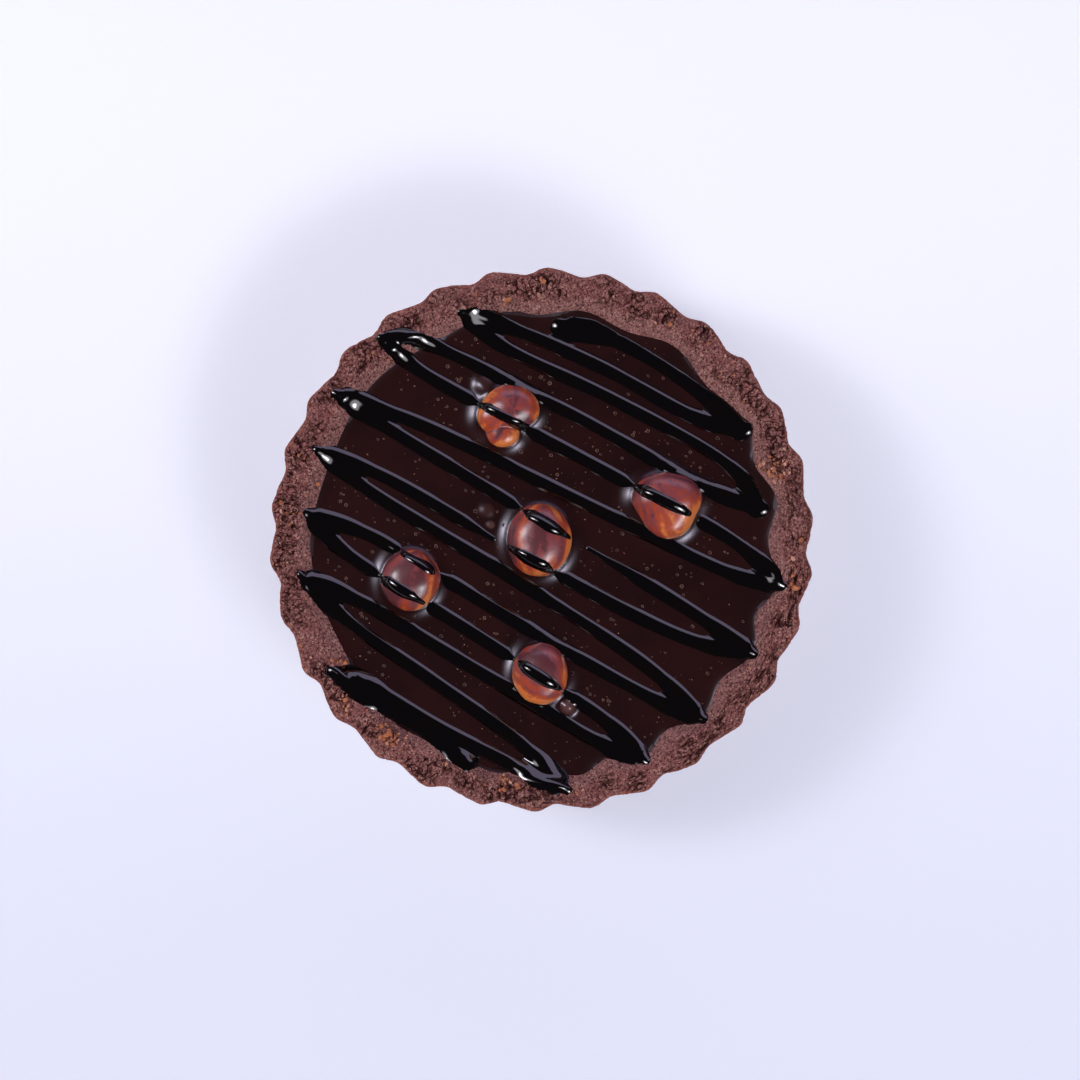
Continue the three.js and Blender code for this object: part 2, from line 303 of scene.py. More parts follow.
def hoop_faces(rows: int, columns: int) -> Array:
    """Triangles of a closed hoop: a turned surface whose last ring joins its first.

    Args:
        rows: number of rings, from bottom to top on the outside.
        columns: vertices in each ring.

    Returns:
        (m, 3) vertex numbers, facing outwards.
    """
    column = np.arange(columns)
    after = (column + 1) % columns
    ring = np.arange(rows)[:, None] * columns
    above = (ring + columns) % (rows * columns)
    return halved(ring + column, ring + after, above + after, above + column)


def scattered(middles: Array, bodies: Array, faces: Array) -> tuple[Array, Array]:
    """Joins n bodies, each of k vertices about its own middle and with the same faces, into one."""
    first = (np.arange(len(bodies)) * bodies.shape[1])[:, None, None]
    return (middles[:, None] + bodies).reshape(-1, 3), (faces[None] + first).reshape(-1, 3)


def grid_normals(grid: Array) -> Array:
    """Unit normals of a grid: its slope round the columns, crossed with its slope along the rows.

    Args:
        grid: (rows, columns, 3) places, closed along the columns.

    Returns:
        (rows, columns, 3) normals.
    """
    around = np.roll(grid, -1, axis=1) - np.roll(grid, 1, axis=1)
    normal = np.cross(around, np.gradient(grid, axis=0))
    return normal / np.maximum(np.linalg.norm(normal, axis=-1, keepdims=True), TINY)


def surface_net(field_: Array, origin: Array, step: Array, rounds: int = 3) -> tuple[Array, Array]:
    """A closed mesh where a field on a box grid is zero, the inside being below zero.

    Each grid cell that the surface crosses gets one vertex, at the mean of the crossings on its
    twelve edges, and each crossed grid edge gets one four-sided face between the four cells round
    it (the method called surface nets). The vertices are then moved along the field's slope, nine
    tenths of the way in each round, to where the blended field is zero.

    Args:
        field_: (nx, ny, nz) numbers, above zero all over the box's outer layer.
        origin: place of the first grid point.
        step: grid spacing along each axis.
        rounds: how often the vertices are moved.

    Returns:
        (n, 3) places and (m, 4) vertex numbers, facing outwards.
    """
    inside = field_ < 0
    cells = tuple(np.array(field_.shape) - 1)
    total, count = np.zeros((*cells, 3)), np.zeros(cells)
    crossings = []
    for axis in range(3):
        low, high = (
            tuple(ends if k == axis else slice(None) for k in range(3))
            for ends in (slice(0, -1), slice(1, None))
        )
        cross = inside[low] != inside[high]
        a, b = field_[low][cross], field_[high][cross]
        edge = np.argwhere(cross)
        place = edge.astype(float)
        place[:, axis] += a / (a - b)
        one, other = np.delete(np.eye(3, dtype=int), axis, axis=0)
        beside = [tuple((edge - i * one - j * other).T) for i in (0, 1) for j in (0, 1)]
        for cell in beside:
            np.add.at(total, cell, place)
            np.add.at(count, cell, 1)
        crossings.append((beside, inside[low][cross] == (axis != 1)))
    used = count > 0
    number = np.full(cells, -1, int)
    number[used] = np.arange(used.sum())
    places = total[used] / count[used][:, None]
    faces = []
    for beside, forwards in crossings:
        quad = np.stack([number[cell] for cell in beside], axis=1)[:, [0, 2, 3, 1]]
        faces.append(np.where(forwards[:, None], quad, quad[:, ::-1]))
    slope = np.stack(np.gradient(field_), axis=-1)
    for _ in range(rounds):
        value, gradient = blended(field_, places), blended(slope, places)
        places = places - (value / np.maximum((gradient**2).sum(1), TINY))[:, None] * gradient * 0.9
    return origin + places * step, np.concatenate(faces)


def blended(grid: Array, places: Array) -> Array:
    """Values of a grid between its points, blended from the eight corners round each place.

    Args:
        grid: (nx, ny, nz) numbers or (nx, ny, nz, 3) vectors.
        places: (n, 3) places, in grid steps.

    Returns:
        (n) numbers or (n, 3) vectors.
    """
    p = np.clip(places, 0, np.array(grid.shape[:3]) - 1.001)
    base = np.floor(p).astype(int)
    total = 0.0
    for step, weight in corners(p - base):
        value = grid[tuple((base + step).T)]
        total = total + (weight[:, None] if value.ndim > 1 else weight) * value
    return total


# -------------------------------------------------------------------------------------- finishes


class Tree:
    """A tree of shader nodes, with a short call for each kind of node that the finishes need."""

    def __init__(self, tree: bpy.types.NodeTree) -> None:
        """Takes the tree on, with whatever nodes it has."""
        self.tree = tree

    def feed(self, socket: Socket, value: object) -> None:
        """Links value to the socket if it is one too, and otherwise sets it there.

        Args:
            socket: the input to fill.
            value: another socket, a number, a vector, or a colour of three numbers.
        """
        if isinstance(value, Socket):
            self.tree.links.new(value, socket)
        elif isinstance(value, tuple) and len(value) == 3 and len(socket.default_value) == 4:
            socket.default_value = (*value, 1.0)
        else:
            socket.default_value = value

    def add(
        self, kind: str, inputs: dict[str | int, object] | None = None, **settings: object
    ) -> bpy.types.Node:
        """Adds one node.

        Args:
            kind: Blender's name for the kind of node.
            inputs: what to feed its sockets with, by name or number. None leaves one as it is.
            settings: the node's own settings.

        Returns:
            The node.
        """
        node = self.tree.nodes.new(kind)
        for key, value in settings.items():
            setattr(node, key, value)
        for key, value in (inputs or {}).items():
            if value is not None:
                self.feed(node.inputs[key], value)
        return node

    def ramp(
        self, value: Socket, low: float, high: float, start: float = 0.0, end: float = 1.0
    ) -> Socket:
        """Value turned so that low gives start and high gives end, smoothly and held outside."""
        inputs = {"Value": value, "From Min": low, "From Max": high, "To Min": start, "To Max": end}
        return self.add("ShaderNodeMapRange", inputs, interpolation_type="SMOOTHSTEP").outputs[0]

    def math(self, operation: str, a: Socket | float, b: Socket | float = 0.0) -> Socket:
        """One sum, product or the like of two numbers."""
        return self.add("ShaderNodeMath", {0: a, 1: b}, operation=operation).outputs[0]


class Finish(Tree):
    """One material's shader tree."""

    def __init__(self, name: str) -> None:
        """Starts a material that holds a Principled shader.

        Args:
            name: the material's name.
        """
        self.material = bpy.data.materials.new(name)
        self.material.use_nodes = True
        super().__init__(self.material.node_tree)
        self.shader = self.tree.nodes["Principled BSDF"]
        self.place = self.add("ShaderNodeTexCoord").outputs["Object"]

    def set(self, **values: object) -> None:
        """Sets or links the shader's own sockets, with underscores for spaces in their names."""
        for key, value in values.items():
            self.feed(self.shader.inputs[key.replace("_", " ")], value)

    def noise(
        self, size: float, detail: float = 2.0, rough: float = 0.5, place: Socket | None = None
    ) -> Socket:
        """Noise from 0 to 1 whose lumps are about size mm across."""
        inputs = {"Vector": place or self.place, "Scale": 1 / (size * MM), "Detail": detail}
        return self.add("ShaderNodeTexNoise", inputs | {"Roughness": rough}).outputs["Fac"]

    def cells(self, size: float) -> tuple[Socket, Socket]:
        """Grains about size mm across: the distance from each one's middle, and a random tone."""
        found = self.add("ShaderNodeTexVoronoi", {"Vector": self.place, "Scale": 1 / (size * MM)})
        return found.outputs["Distance"], found.outputs["Color"]

    def mark(self, name: str) -> Socket:
        """A number that the mesh carries for each vertex."""
        return self.add("ShaderNodeAttribute", attribute_name=name).outputs["Fac"]

    def blend(self, share: Socket, a: Socket | Colour, b: Socket | Colour) -> Socket:
        """Colour a blended with colour b by share."""
        inputs = {"Factor": share, "A": a, "B": b}
        return self.add("ShaderNodeMix", inputs, data_type="RGBA").outputs["Result"]

    def bump(
        self, height: Socket, depth: float, strength: float = 1.0, under: Socket | None = None
    ) -> Socket:
        """Relief of that depth in mm, worked into the normals, over the relief under it."""
        inputs = {"Strength": strength, "Distance": depth * MM, "Height": height, "Normal": under}
        return self.add("ShaderNodeBump", inputs).outputs["Normal"]

    def cracks(self, around: float, outward: float) -> Socket:
        """Fine lines that run with the longer side of their cells.

        Args:
            around: number of cells in a radian round the axis.
            outward: length of a cell away from the axis, in mm.

        Returns:
            1 along the lines and 0 between them.
        """
        parts = self.add("ShaderNodeSeparateXYZ", {0: self.place}).outputs
        x, y = parts["X"], parts["Y"]
        square = self.math("ADD", self.math("MULTIPLY", x, x), self.math("MULTIPLY", y, y))
        turn = self.math("MULTIPLY", self.math("ARCTAN2", y, x), around)
        radius = self.math("DIVIDE", self.math("SQRT", square), outward * MM)
        cell = self.add("ShaderNodeCombineXYZ", {"X": turn, "Y": radius}).outputs[0]
        level = self.math("SUBTRACT", self.noise(1 / MM, 1.0, 0.5, cell), 0.5)
        return self.ramp(self.math("ABSOLUTE", level), 0.052, 0.016)


@dataclass(frozen=True)
class PastryFinish:
    """Baked cocoa pastry: matt, grainy, lighter where it was pressed smooth, toasted at the edge.

    grain, grit, clouds and specks are sizes in mm, and the depths are those of the relief in mm.
    The darkest colour is painted shade in the low grain, cracks and pits, and also the tone of
    random dark grains.
    """

    torn: Colour = (0.290, 0.107, 0.101)
    smooth: Colour = (0.330, 0.147, 0.138)
    # painted shade in low grain, cracks and pits; also the tone of random dark grains
    dark_and_shade: Colour = (0.026, 0.005, 0.004)
    toasted: Colour = (0.42, 0.120, 0.050)
    sugar: Colour = (0.72, 0.45, 0.36)
    grain: float = 0.36
    grit: float = 0.30
    clouds: float = 5.0
    specks: float = 0.8
    grain_depth: float = 0.13
    crack_depth: float = 0.30
    roughness: float = 0.82
    shine: float = 0.08

    def make(self) -> Material:
        """Builds the material: each blend lays one more colour over the ones before.

        Returns:
            The material. It reads the marks that PastryCase.dress gives the mesh.
        """
        n = Finish("cocoa pastry")
        grain = n.noise(self.grain, 3.0, 0.7)
        away, tone = n.cells(self.grit)
        rough = n.ramp(n.mark("baked"), 0.0, 1.0, 0.72, 0.4)
        lip = n.math("MULTIPLY", n.mark("lip"), n.ramp(grain, 0.35, 0.6, 0.0, 0.6))
        specks = n.ramp(n.cells(self.specks)[0], 0.24, 0.12)
        speck = n.math("MULTIPLY", specks, n.ramp(n.noise(2 * self.specks), 0.53, 0.6))
        lines = n.blend(n.mark("along"), n.cracks(34.0, 1.8), n.cracks(15.0, 0.9))
        crack = n.math("MULTIPLY", lines, n.mark("cracked"))
        base = n.blend(n.mark("pressed"), self.torn, self.smooth)
        for share, colour in (
            (n.math("MULTIPLY", n.mark("baked"), 0.6), self.smooth),
            (n.ramp(n.noise(self.clouds), 0.35, 0.7, 0.0, 0.35), self.smooth),
            # painted shade where the grain's relief is low
            (n.ramp(grain, 0.50, 0.36, 0.0, 0.6), self.dark_and_shade),
            # random dark grains, a tone of their own
            (n.math("MULTIPLY", n.ramp(tone, 0.42, 0.18), rough), self.dark_and_shade),
            (n.ramp(tone, 0.62, 0.90, 0.0, 0.42), self.sugar),
            (lip, self.toasted),
            # painted shade in the mesh's cracks and pits
            (n.mark("dark_and_shade"), self.dark_and_shade),
            (n.math("MULTIPLY", speck, 0.85), self.sugar),
            # painted shade in the fine cracks
            (n.math("MULTIPLY", crack, 0.9), self.dark_and_shade),
        ):
            base = n.blend(share, base, colour)
        grains = n.math("SUBTRACT", n.math("MULTIPLY", grain, 1.3), away)
        relief = n.bump(n.math("SUBTRACT", 1.0, crack), self.crack_depth)
        n.set(Base_Color=base, Roughness=self.roughness, Specular_IOR_Level=self.shine)
        n.set(Normal=n.bump(grains, self.grain_depth, under=relief))
        return n.material


@dataclass(frozen=True)
class GanacheFinish:
    """Set dark ganache: deep red-brown, smooth and satin, with a dull film where it meets the case.

    clouds and pores are sizes in mm. The roughness goes from that of the ganache to the film's.
    """

    deep: Colour = (0.0155, 0.0031, 0.0027)
    warm: Colour = (0.0220, 0.0043, 0.0036)
    film: Colour = (0.026, 0.012, 0.014)
    chip: Colour = (0.115, 0.050, 0.045)
    gleam: Colour = (0.88, 0.85, 1.0)
    clouds: float = 9.0
    pores: float = 0.5
    pore_depth: float = 0.12
    roughness: Pair = (0.26, 0.40)

    def make(self) -> Material:
        """Builds the material.

        Returns:
            The material. It reads the marks film and chip.
        """
        n = Finish("dark ganache")
        film, pores = n.mark("film"), n.noise(self.pores, 2.0, 0.6)
        base = n.blend(n.ramp(n.noise(self.clouds), 0.35, 0.65), self.deep, self.warm)
        base = n.blend(n.mark("chip"), base, self.chip)
        skin = n.blend(n.ramp(pores, 0.35, 0.6), self.film, self.deep)
        rough = n.ramp(film, 0.1, 0.9, *self.roughness)
        relief = n.bump(n.math("MULTIPLY", pores, film), self.pore_depth, 0.8)
        n.set(Base_Color=n.blend(film, base, skin), Roughness=rough, Normal=relief)
        n.set(IOR=1.55, Specular_Tint=self.gleam)
        return n.material


@dataclass(frozen=True)
class GlazeFinish:
    """Thick black mirror glaze, still wet."""

    black: Colour = (0.0016, 0.0010, 0.0014)
    brown: Colour = (0.0026, 0.0012, 0.0012)

    def make(self) -> Material:
        """Builds the material.

        Returns:
            The material, with slow changes from black to brown.
        """
        n = Finish("black glaze")
        tint = n.blend(n.ramp(n.noise(4.0), 0.4, 0.7), self.black, self.brown)
        n.set(Base_Color=tint, Roughness=0.05, IOR=1.75)
        return n.material


@dataclass(frozen=True)
class NutFinish:
    """Hazelnut skin under glaze: purple-brown on the crown, orange streaks on the flanks."""

    crown: Colour = (0.255, 0.053, 0.060)
    flank: Colour = (0.440, 0.060, 0.022)
    # bright orange: the lightest streaks, and painted light, a glow as of light through the glaze
    # at the edge
    glow: Colour = (0.82, 0.24, 0.060)
    dark: Colour = (0.085, 0.020, 0.026)

    def make(self) -> Material:
        """Builds the material: a matt skin under a clear coat.

        Returns:
            The material. It reads the mark warmth, and is more orange where that is higher.
        """
        n = Finish("glazed hazelnut")
        fine = n.noise(0.8, 3.0, 0.6)
        warmth = n.math("ADD", n.mark("warmth"), n.ramp(fine, 0.3, 0.7, -0.12, 0.12))
        base = n.blend(n.ramp(warmth, 0.20, 0.55), self.crown, self.flank)
        # the brightest orange, partly painted light at the nut's edge
        base = n.blend(n.ramp(warmth, 0.58, 1.05), base, self.glow)
        # dark streaks, and painted shade in a cracked nut's crease
        base = n.blend(n.ramp(warmth, 0.20, -0.05, 0.0, 0.8), base, self.dark)
        n.set(Base_Color=base, Roughness=0.6, Specular_IOR_Level=0.0, Coat_Weight=1.0)
        n.set(Coat_Roughness=0.35, Coat_IOR=1.75, Normal=n.bump(fine, 0.03, 0.5))
        return n.material


@dataclass(frozen=True)
class BubbleFinish:
    """Tiny bubbles set in the top of the ganache: a dark middle in a light brown rim of painted
    light.
    """

    # painted light: rim and faint are light caught on the bubble's rim
    rim: Colour = (0.20, 0.098, 0.062)
    faint: Colour = (0.07, 0.029, 0.021)
    middle: Colour = (0.012, 0.004, 0.004)

    def make(self) -> Material:
        """Builds the material.

        Returns:
            The material. It reads the mark rim.
        """
        n = Finish("ganache bubbles")
        tone = n.blend(n.ramp(n.noise(2.6), 0.38, 0.62), self.rim, self.faint)
        n.set(Base_Color=n.blend(n.mark("rim"), self.middle, tone), Roughness=0.3, IOR=1.4)
        return n.material


@dataclass(frozen=True)
class CrumbFinish:
    """Loose crumbs of pastry and nut on the rim, orange-brown to pinkish."""

    toasted: Colour = (0.56, 0.19, 0.075)
    pale: Colour = (0.74, 0.38, 0.27)
    dark: Colour = (0.13, 0.038, 0.027)

    def make(self) -> Material:
        """Builds the material.

        Returns:
            The material. It reads the mark tone, one number for each crumb.
        """
        n = Finish("crumbs")
        tone = n.blend(n.ramp(n.mark("tone"), 0.6, 0.95), self.toasted, self.pale)
        tone = n.blend(n.ramp(n.mark("tone"), 0.3, 0.1), tone, self.dark)
        tone = n.blend(n.ramp(n.noise(0.3), 0.5, 0.35, 0.0, 0.6), tone, self.dark)
        n.set(Base_Color=tone, Roughness=0.7)
        return n.material


# ----------------------------------------------------------------------------------- pastry case


@dataclass(frozen=True)
class Lumps:
    """Lumps in layers, each finer than the one before: height and size of the first, in mm."""

    height: float
    size: float
    layers: int
    seed: int

    def noise(self, points: Array) -> Array:
        """The layers added up, before their height."""
        return fractal(points, self.size, self.layers, self.seed)

    def at(self, points: Array) -> Array:
        """How far each point stands out."""
        return self.height * self.noise(points)


@dataclass(frozen=True)
class Pits:
    """Round pits: depth and spacing in mm, and where they start and are deepest, as its shares."""

    depth: float
    spacing: float
    start: float
    bottom: float
    seed: int

    def at(self, points: Array) -> Array:
        """How far each point stands out, which is zero or less."""
        away = nearest_cell(points, self.spacing, self.seed)
        return -self.depth * ease(away, self.start, self.bottom)


@dataclass
class PastryCase:
    """The fluted case. All sizes are in mm and bearings in degrees, anticlockwise from +X.

    The rim's top slopes up over slope_share of its width, and lip_band is where its lip starts and
    how wide the lip is. uneven_waves are height, number round the case and drift. wave_bands are
    the bands that waves fade in over, with their height. The grains of the cracks across the rim
    and along it are cells in a radian round the axis and their length away from it, and crack_sway
    is how far cracks sway and how slowly. lap and tuck are how far the wall goes up behind the rim
    and then in.
    """

    rim_radius: float = 50.6
    foot_radius: float = 44.0
    rim_height: float = 25.2
    lip_height: float = 23.8
    edge_level: float = 23.1
    floor_top: float = 5.0
    inner_lean: float = 5.6
    foot_chamfer: float = 1.2
    base_rings: tuple[float, ...] = (15.0, 30.0, 40.0)
    contact_radius: float = 43.4
    contact_shift: Pair = (0.6, 310)
    press_depth: float = 0.8
    press_shift: Pair = (0.36, 335)
    presses: tuple[float, ...] = (
        10, 29, 56, 80, 101, 136, 183, 232, 258, 279, 295, 312, 332, 349,
    )
    slope_share: float = 0.42
    lip_band: Pair = (0.8, 0.2)
    flutes: int = 30
    first_crest: float = 4.0
    rim_flute_depth: float = 1.2
    wall_flute_depth: float = 2.0
    edge_wander: float = 0.2
    uneven_waves: tuple[tuple[float, int, float], ...] = (
        (0.35, 7, 1.0), (0.30, 17, 2.3), (0.25, 43, 4.1),
    )
    wave_bands: tuple[Triple, ...] = (
        (0.15, 0.4, 0.25), (0.4, 0.6, 0.4), (0.6, 0.85, 0.4),
    )
    lumps: Lumps = Lumps(0.34, 2.8, 3, 11)
    crags: Lumps = Lumps(0.30, 1.3, 3, 14)
    grain: Lumps = Lumps(0.10, 0.6, 2, 42)
    swell: Lumps = Lumps(0.06, 2.2, 2, 52)
    pits: Pits = Pits(0.30, 1.0, 0.32, 0.12, 32)
    pores: Pits = Pits(0.14, 0.75, 0.42, 0.15, 46)
    wall_pits: Pits = Pits(0.22, 2.1, 0.22, 0.08, 62)
    crack_depth: float = 0.5
    crack_sway: Pair = (0.5, 2.5)
    across_grain: Pair = (45, 2.4)
    along_grain: Pair = (20, 0.95)
    along_side: float = 322
    deepest: float = 0.55
    seam: float = 21.4
    lap: float = 0.4
    tuck: float = 1.5
    wall_columns: int = 900
    rim_columns: int = 1640
    seed: int = 11

    def flute(self, bearing: Array) -> Array:
        """One wave for each flute, from -0.5 to 0.5, that rises quickly and falls slowly."""
        phase = self.flutes * (bearing - math.radians(self.first_crest))
        return (np.cos(phase) + 0.2 * np.sin(2 * phase)) / 2

    def uneven(self, bearing: Array, shift: float) -> Array:
        """Slow waves round the case: a sum of sines."""
        return sum(a * np.sin(n * bearing + drift * shift) for a, n, drift in self.uneven_waves)

    def pressed(self, bearing: Array) -> Array:
        """1 at each fingertip press and -1 midway between two, as a cosine of the way between."""
        marks = np.array([self.presses[-1] - 360, *self.presses, self.presses[0] + 360.0])
        return np.cos(TAU * np.interp(np.degrees(bearing) % 360, marks, np.arange(len(marks))))

    def press(self, bearing: Array) -> Array:
        """How deep the presses are, which is most on one side."""
        return self.press_depth + leaning(bearing, *self.press_shift)

    def contact(self, bearing: Array) -> Array:
        """Radius where the ganache meets the case: a shifted circle and the presses in it."""
        circle = self.contact_radius + leaning(bearing, *self.contact_shift)
        return circle + self.press(bearing) * self.pressed(bearing)

    def edge(self, bearing: Array) -> Array:
        """Radius of the outer edge."""
        wander = self.edge_wander * self.uneven(bearing, 5)
        return self.rim_radius + self.rim_flute_depth * self.flute(bearing) + wander

    def rim_top(self, share: Array, bearing: Array) -> Array:
        """Height of the rim's top.

        A quarter sine up the pressed inner slope, then level, then a quarter circle down to the
        lip, with slow waves that change from band to band.

        Args:
            share: 0 at the ganache's edge and 1 at the lip.
            bearing: bearings in radians.

        Returns:
            A height for each place.
        """
        start, width = self.lip_band
        climb = np.sin(np.pi / 2 * np.clip(share / self.slope_share, 0, 1)) ** 1.2
        fall = np.clip((share - start) / width, 0, 1)
        drop = (self.rim_height - self.lip_height) * (1 - np.sqrt(1 - fall**2))
        rises = [ease(share, low, high) for low, high, _ in self.wave_bands] + [0.0]
        waves = sum(
            high * rises[k] * (1 - rises[k + 1]) * self.uneven(bearing, k + 1)
            for k, (_, _, high) in enumerate(self.wave_bands)
        )
        return self.edge_level + (self.rim_height - self.edge_level) * climb - drop + waves

    def share(self, x: Array, y: Array) -> tuple[Array, Array]:
        """Where places in plan lie on the rim's top.

        Args:
            x, y: places in plan.

        Returns:
            Shares of the way from the ganache's edge to the lip, and bearings in radians.
        """
        bearing = np.arctan2(y, x)
        inner, outer = self.contact(bearing), self.edge(bearing)
        return (np.hypot(x, y) - inner) / (outer - inner), bearing

    def wall(self, z: float, bearing: Array) -> Array:
        """Radius of the leaning, fluted outside, whose flutes get shallower near the rim.

        Args:
            z: a height.
            bearing: bearings in radians.

        Returns:
            A radius for each bearing.
        """
        lean = z / self.lip_height
        near_rim = max(0.0, 4 * lean - 3)
        depth = mix(self.wall_flute_depth, self.rim_flute_depth, near_rim)
        wander = near_rim * self.edge_wander * self.uneven(bearing, 5)
        return mix(self.foot_radius, self.rim_radius, lean) + depth * self.flute(bearing) + wander

    def near_right(self, bearing: Array) -> Array:
        """1 on the near right side, where the cracks run along the rim, and 0 elsewhere."""
        return ease(leaning(bearing, 1.0, self.along_side), 0.5, 0.85)

    def cracked(self, points: Array) -> Array:
        """1 where the dough is cracked and 0 where it is not, in patches of about 3 mm."""
        return ease(value_noise(points, 3.0, self.seed + 9), -0.35, 0.15)

    def relief(self, points: Array, place: Array, bearing: Array) -> tuple[Array, Array]:
        """How far each point stands out from the plain surface.

        Lumps and crags of torn dough on the top, cracks that run across the rim on the left and far
        side and along it on the near right, pits all over, and a fine grain everywhere. A crack is
        where a noise, drawn out along the crack's way, is near zero.

        Args:
            points: places on the plain surface.
            place: 0 at the ganache's edge, 1 at the lip, 2 at the foot and below 0 inside.
            bearing: bearing of each point.

        Returns:
            One height for each point, in mm, and how deep the point is in a crack or pit.
        """
        level, wall = ease(place, 0.26, 0.5), ease(place, 1.0, 1.1)
        top = level * (1 - 0.8 * ease(place, 0.8, 0.96)) * (1 - wall)
        slope = ease(place, -0.01, 0.05) * (1 - level)
        crags = -self.crags.height * (1 - np.abs(self.crags.noise(points))) ** 4
        radius = np.hypot(points[..., 0], points[..., 1])
        swing, length = self.crack_sway
        sway = swing * value_noise(points, length, self.seed + 4)
        (round_x, out_x), (round_l, out_l) = self.across_grain, self.along_grain
        across = np.stack([bearing * round_x + sway, radius / out_x, 0 * bearing], -1)
        across = ease(np.abs(value_noise(across, 1.0, self.seed + 5)), 0.18, 0.03)
        along = np.stack([bearing * round_l, radius / out_l + sway, 0 * bearing], -1)
        along = ease(np.abs(value_noise(along, 1.0, self.seed + 7)), 0.20, 0.03)
        way = mix(across, along, self.near_right(bearing))
        cracks = -self.crack_depth * way * self.cracked(points)
        pits, wall_pits = self.pits.at(points), self.wall_pits.at(points)
        swell, fine = self.swell.at(points), self.grain.at(points) + self.pores.at(points)
        torn = np.maximum(crags + 0.12 + cracks + pits, -self.deepest)
        height = (
            top * (self.lumps.at(points) + torn)
            + slope * swell
            + wall * (0.8 * swell + wall_pits)
            + (top + 0.6 * slope + 0.5 * wall) * fine
        )
        return height, -(top * (cracks + pits) + wall * wall_pits)

    def dress(self, name: str, rings: list[Ring], bearing: Array, closed: bool) -> Piece:
        """Makes one piece of the case from plain rings, with their relief and colours.

        Args:
            name: the piece's name.
            rings: radius, height, and place as in relief, of each ring.
            bearing: bearings of every ring's points.
            closed: whether the last ring joins the first. Otherwise both ends close on the axis.

        Returns:
            The piece.
        """
        grid = np.stack([polar(r, bearing, z) for r, z, _ in rings])
        place = np.array([place for _, _, place in rings])
        bearing = np.arctan2(grid[..., 1], grid[..., 0])
        place = np.broadcast_to(place[:, None], bearing.shape)
        relief, depth = self.relief(grid, place, bearing)
        grid = grid + relief[..., None] * grid_normals(grid)
        grid[..., 2] = np.where(place >= 1.995, np.maximum(grid[..., 2], 0.0), grid[..., 2])
        marks = {
            "pressed": (1 - ease(place, 0.2, 0.42)) * ease(place, -0.02, 0.02),
            "lip": ease(place, 0.88, 0.99) * (1 - ease(place, 1.0, 1.12)),
            # painted shade, by how deep the point lies in a crack or pit
            "dark_and_shade": 0.6 * ease(depth, 0.1, 0.5),
            "baked": ease(place, 1.02, 1.3),
            "cracked": self.cracked(grid) * ease(place, 0.15, 0.45) * (1 - ease(place, 0.9, 1.0)),
            "along": self.near_right(bearing),
        }
        places, faces = grid.reshape(-1, 3), hoop_faces(*bearing.shape)
        if not closed:
            low, high = ([[0, 0, grid[end, 0, 2]]] for end in (0, -1))
            places, faces = np.concatenate([low, places, high]), lathe_faces(*bearing.shape)
        marks = {key: np.pad(values.ravel(), 0 if closed else 1) for key, values in marks.items()}
        return put_mesh(name, places, faces, self.skin, marks=marks)

    def build_wall(self) -> Piece:
        """The base, the fluted wall up to just under the rim, and the inside under the ganache.

        The profile goes out along the base, round the foot in a quarter circle, up the leaning
        wall, in to the ganache's edge, and down to the floor.

        Returns:
            The piece.
        """
        bearing = np.arange(self.wall_columns) * TAU / self.wall_columns
        rings = [(r, 0.0, 2.0) for r in self.base_rings]
        for turn in np.linspace(0, np.pi / 2, 5):
            out = self.foot_chamfer * (1 - math.sin(turn))
            up = self.foot_chamfer * (1 - math.cos(turn))
            rings.append((self.wall(up, bearing) - out, up, 2.0))
        for z in np.linspace(self.foot_chamfer, self.seam + self.lap, 56)[1:]:
            rings.append((self.wall(z, bearing), z, 2.0 - z / self.lip_height))
        rings.append((self.wall(self.seam, bearing) - self.tuck, self.seam, -1.0))
        for down in (0.15, 0.5, 1.0):
            height = mix(self.edge_level, self.floor_top, down)
            rings.append((self.contact(bearing) - self.inner_lean * down, height, -1.0))
        return self.dress("pastry_wall", rings, bearing, closed=False)

    def build_rim(self) -> Piece:
        """The rough rim: a hoop that laps over the wall.

        The profile goes up the last of the wall, round the lip, in over the top, down the pressed
        slope to the ganache's edge, and back underneath.

        Returns:
            The piece.
        """
        bearing = np.arange(self.rim_columns) * TAU / self.rim_columns
        inner, outer = self.contact(bearing), self.edge(bearing)
        rings = [(self.wall(self.seam - 0.5, bearing) - 0.6, self.seam - 0.5, 1.2)]
        for z in np.linspace(self.seam - 0.1, self.lip_height, 9):
            rings.append((self.wall(z, bearing), z, 2.0 - z / self.lip_height))
        start, width = self.lip_band
        lip_turns = np.cos(np.linspace(0, np.pi / 2, 11)[1:]) * width + start
        for share in (*lip_turns, *np.linspace(start, 0.0, 36)[1:]):
            top = self.rim_top(np.full_like(bearing, share), bearing)
            rings.append((mix(inner, outer, share), top, share))
        rings.append((inner - 0.3, self.edge_level - 1.0, -0.1))
        rings.append((inner + 1.0, self.seam - 1.5, -1.0))
        return self.dress("pastry_rim", rings, bearing, closed=True)

    def build(self) -> None:
        """Builds the case's two pieces."""
        self.skin = PastryFinish().make()
        for piece in (self.build_wall(), self.build_rim()):
            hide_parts("crust")


# --------------------------------------------------------------------------------------- filling


@dataclass(frozen=True)
class Lobe:
    """One round lobe of a hazelnut: its middle in plan and half sizes along X and Y, in mm."""

    x: float
    y: float
    rx: float
    ry: float
    fill_level: float = FILL_LEVEL

    @property
    def tall(self) -> float:
        """Upright half size."""
        return 0.95 * (self.rx + self.ry) / 2

    @property
    def middle(self) -> Array:
        """Middle of the lobe, a tenth of its upright half size below the filling."""
        return np.array([self.x, self.y, self.fill_level - 0.1 * self.tall])

    def out(self, x: Array, y: Array) -> Array:
        """About how far places in plan are outside the lobe's ellipse, in mm."""
        share = np.hypot((x - self.x) / self.rx, (y - self.y) / self.ry)
        return (share - 1) * math.sqrt(self.rx * self.ry)


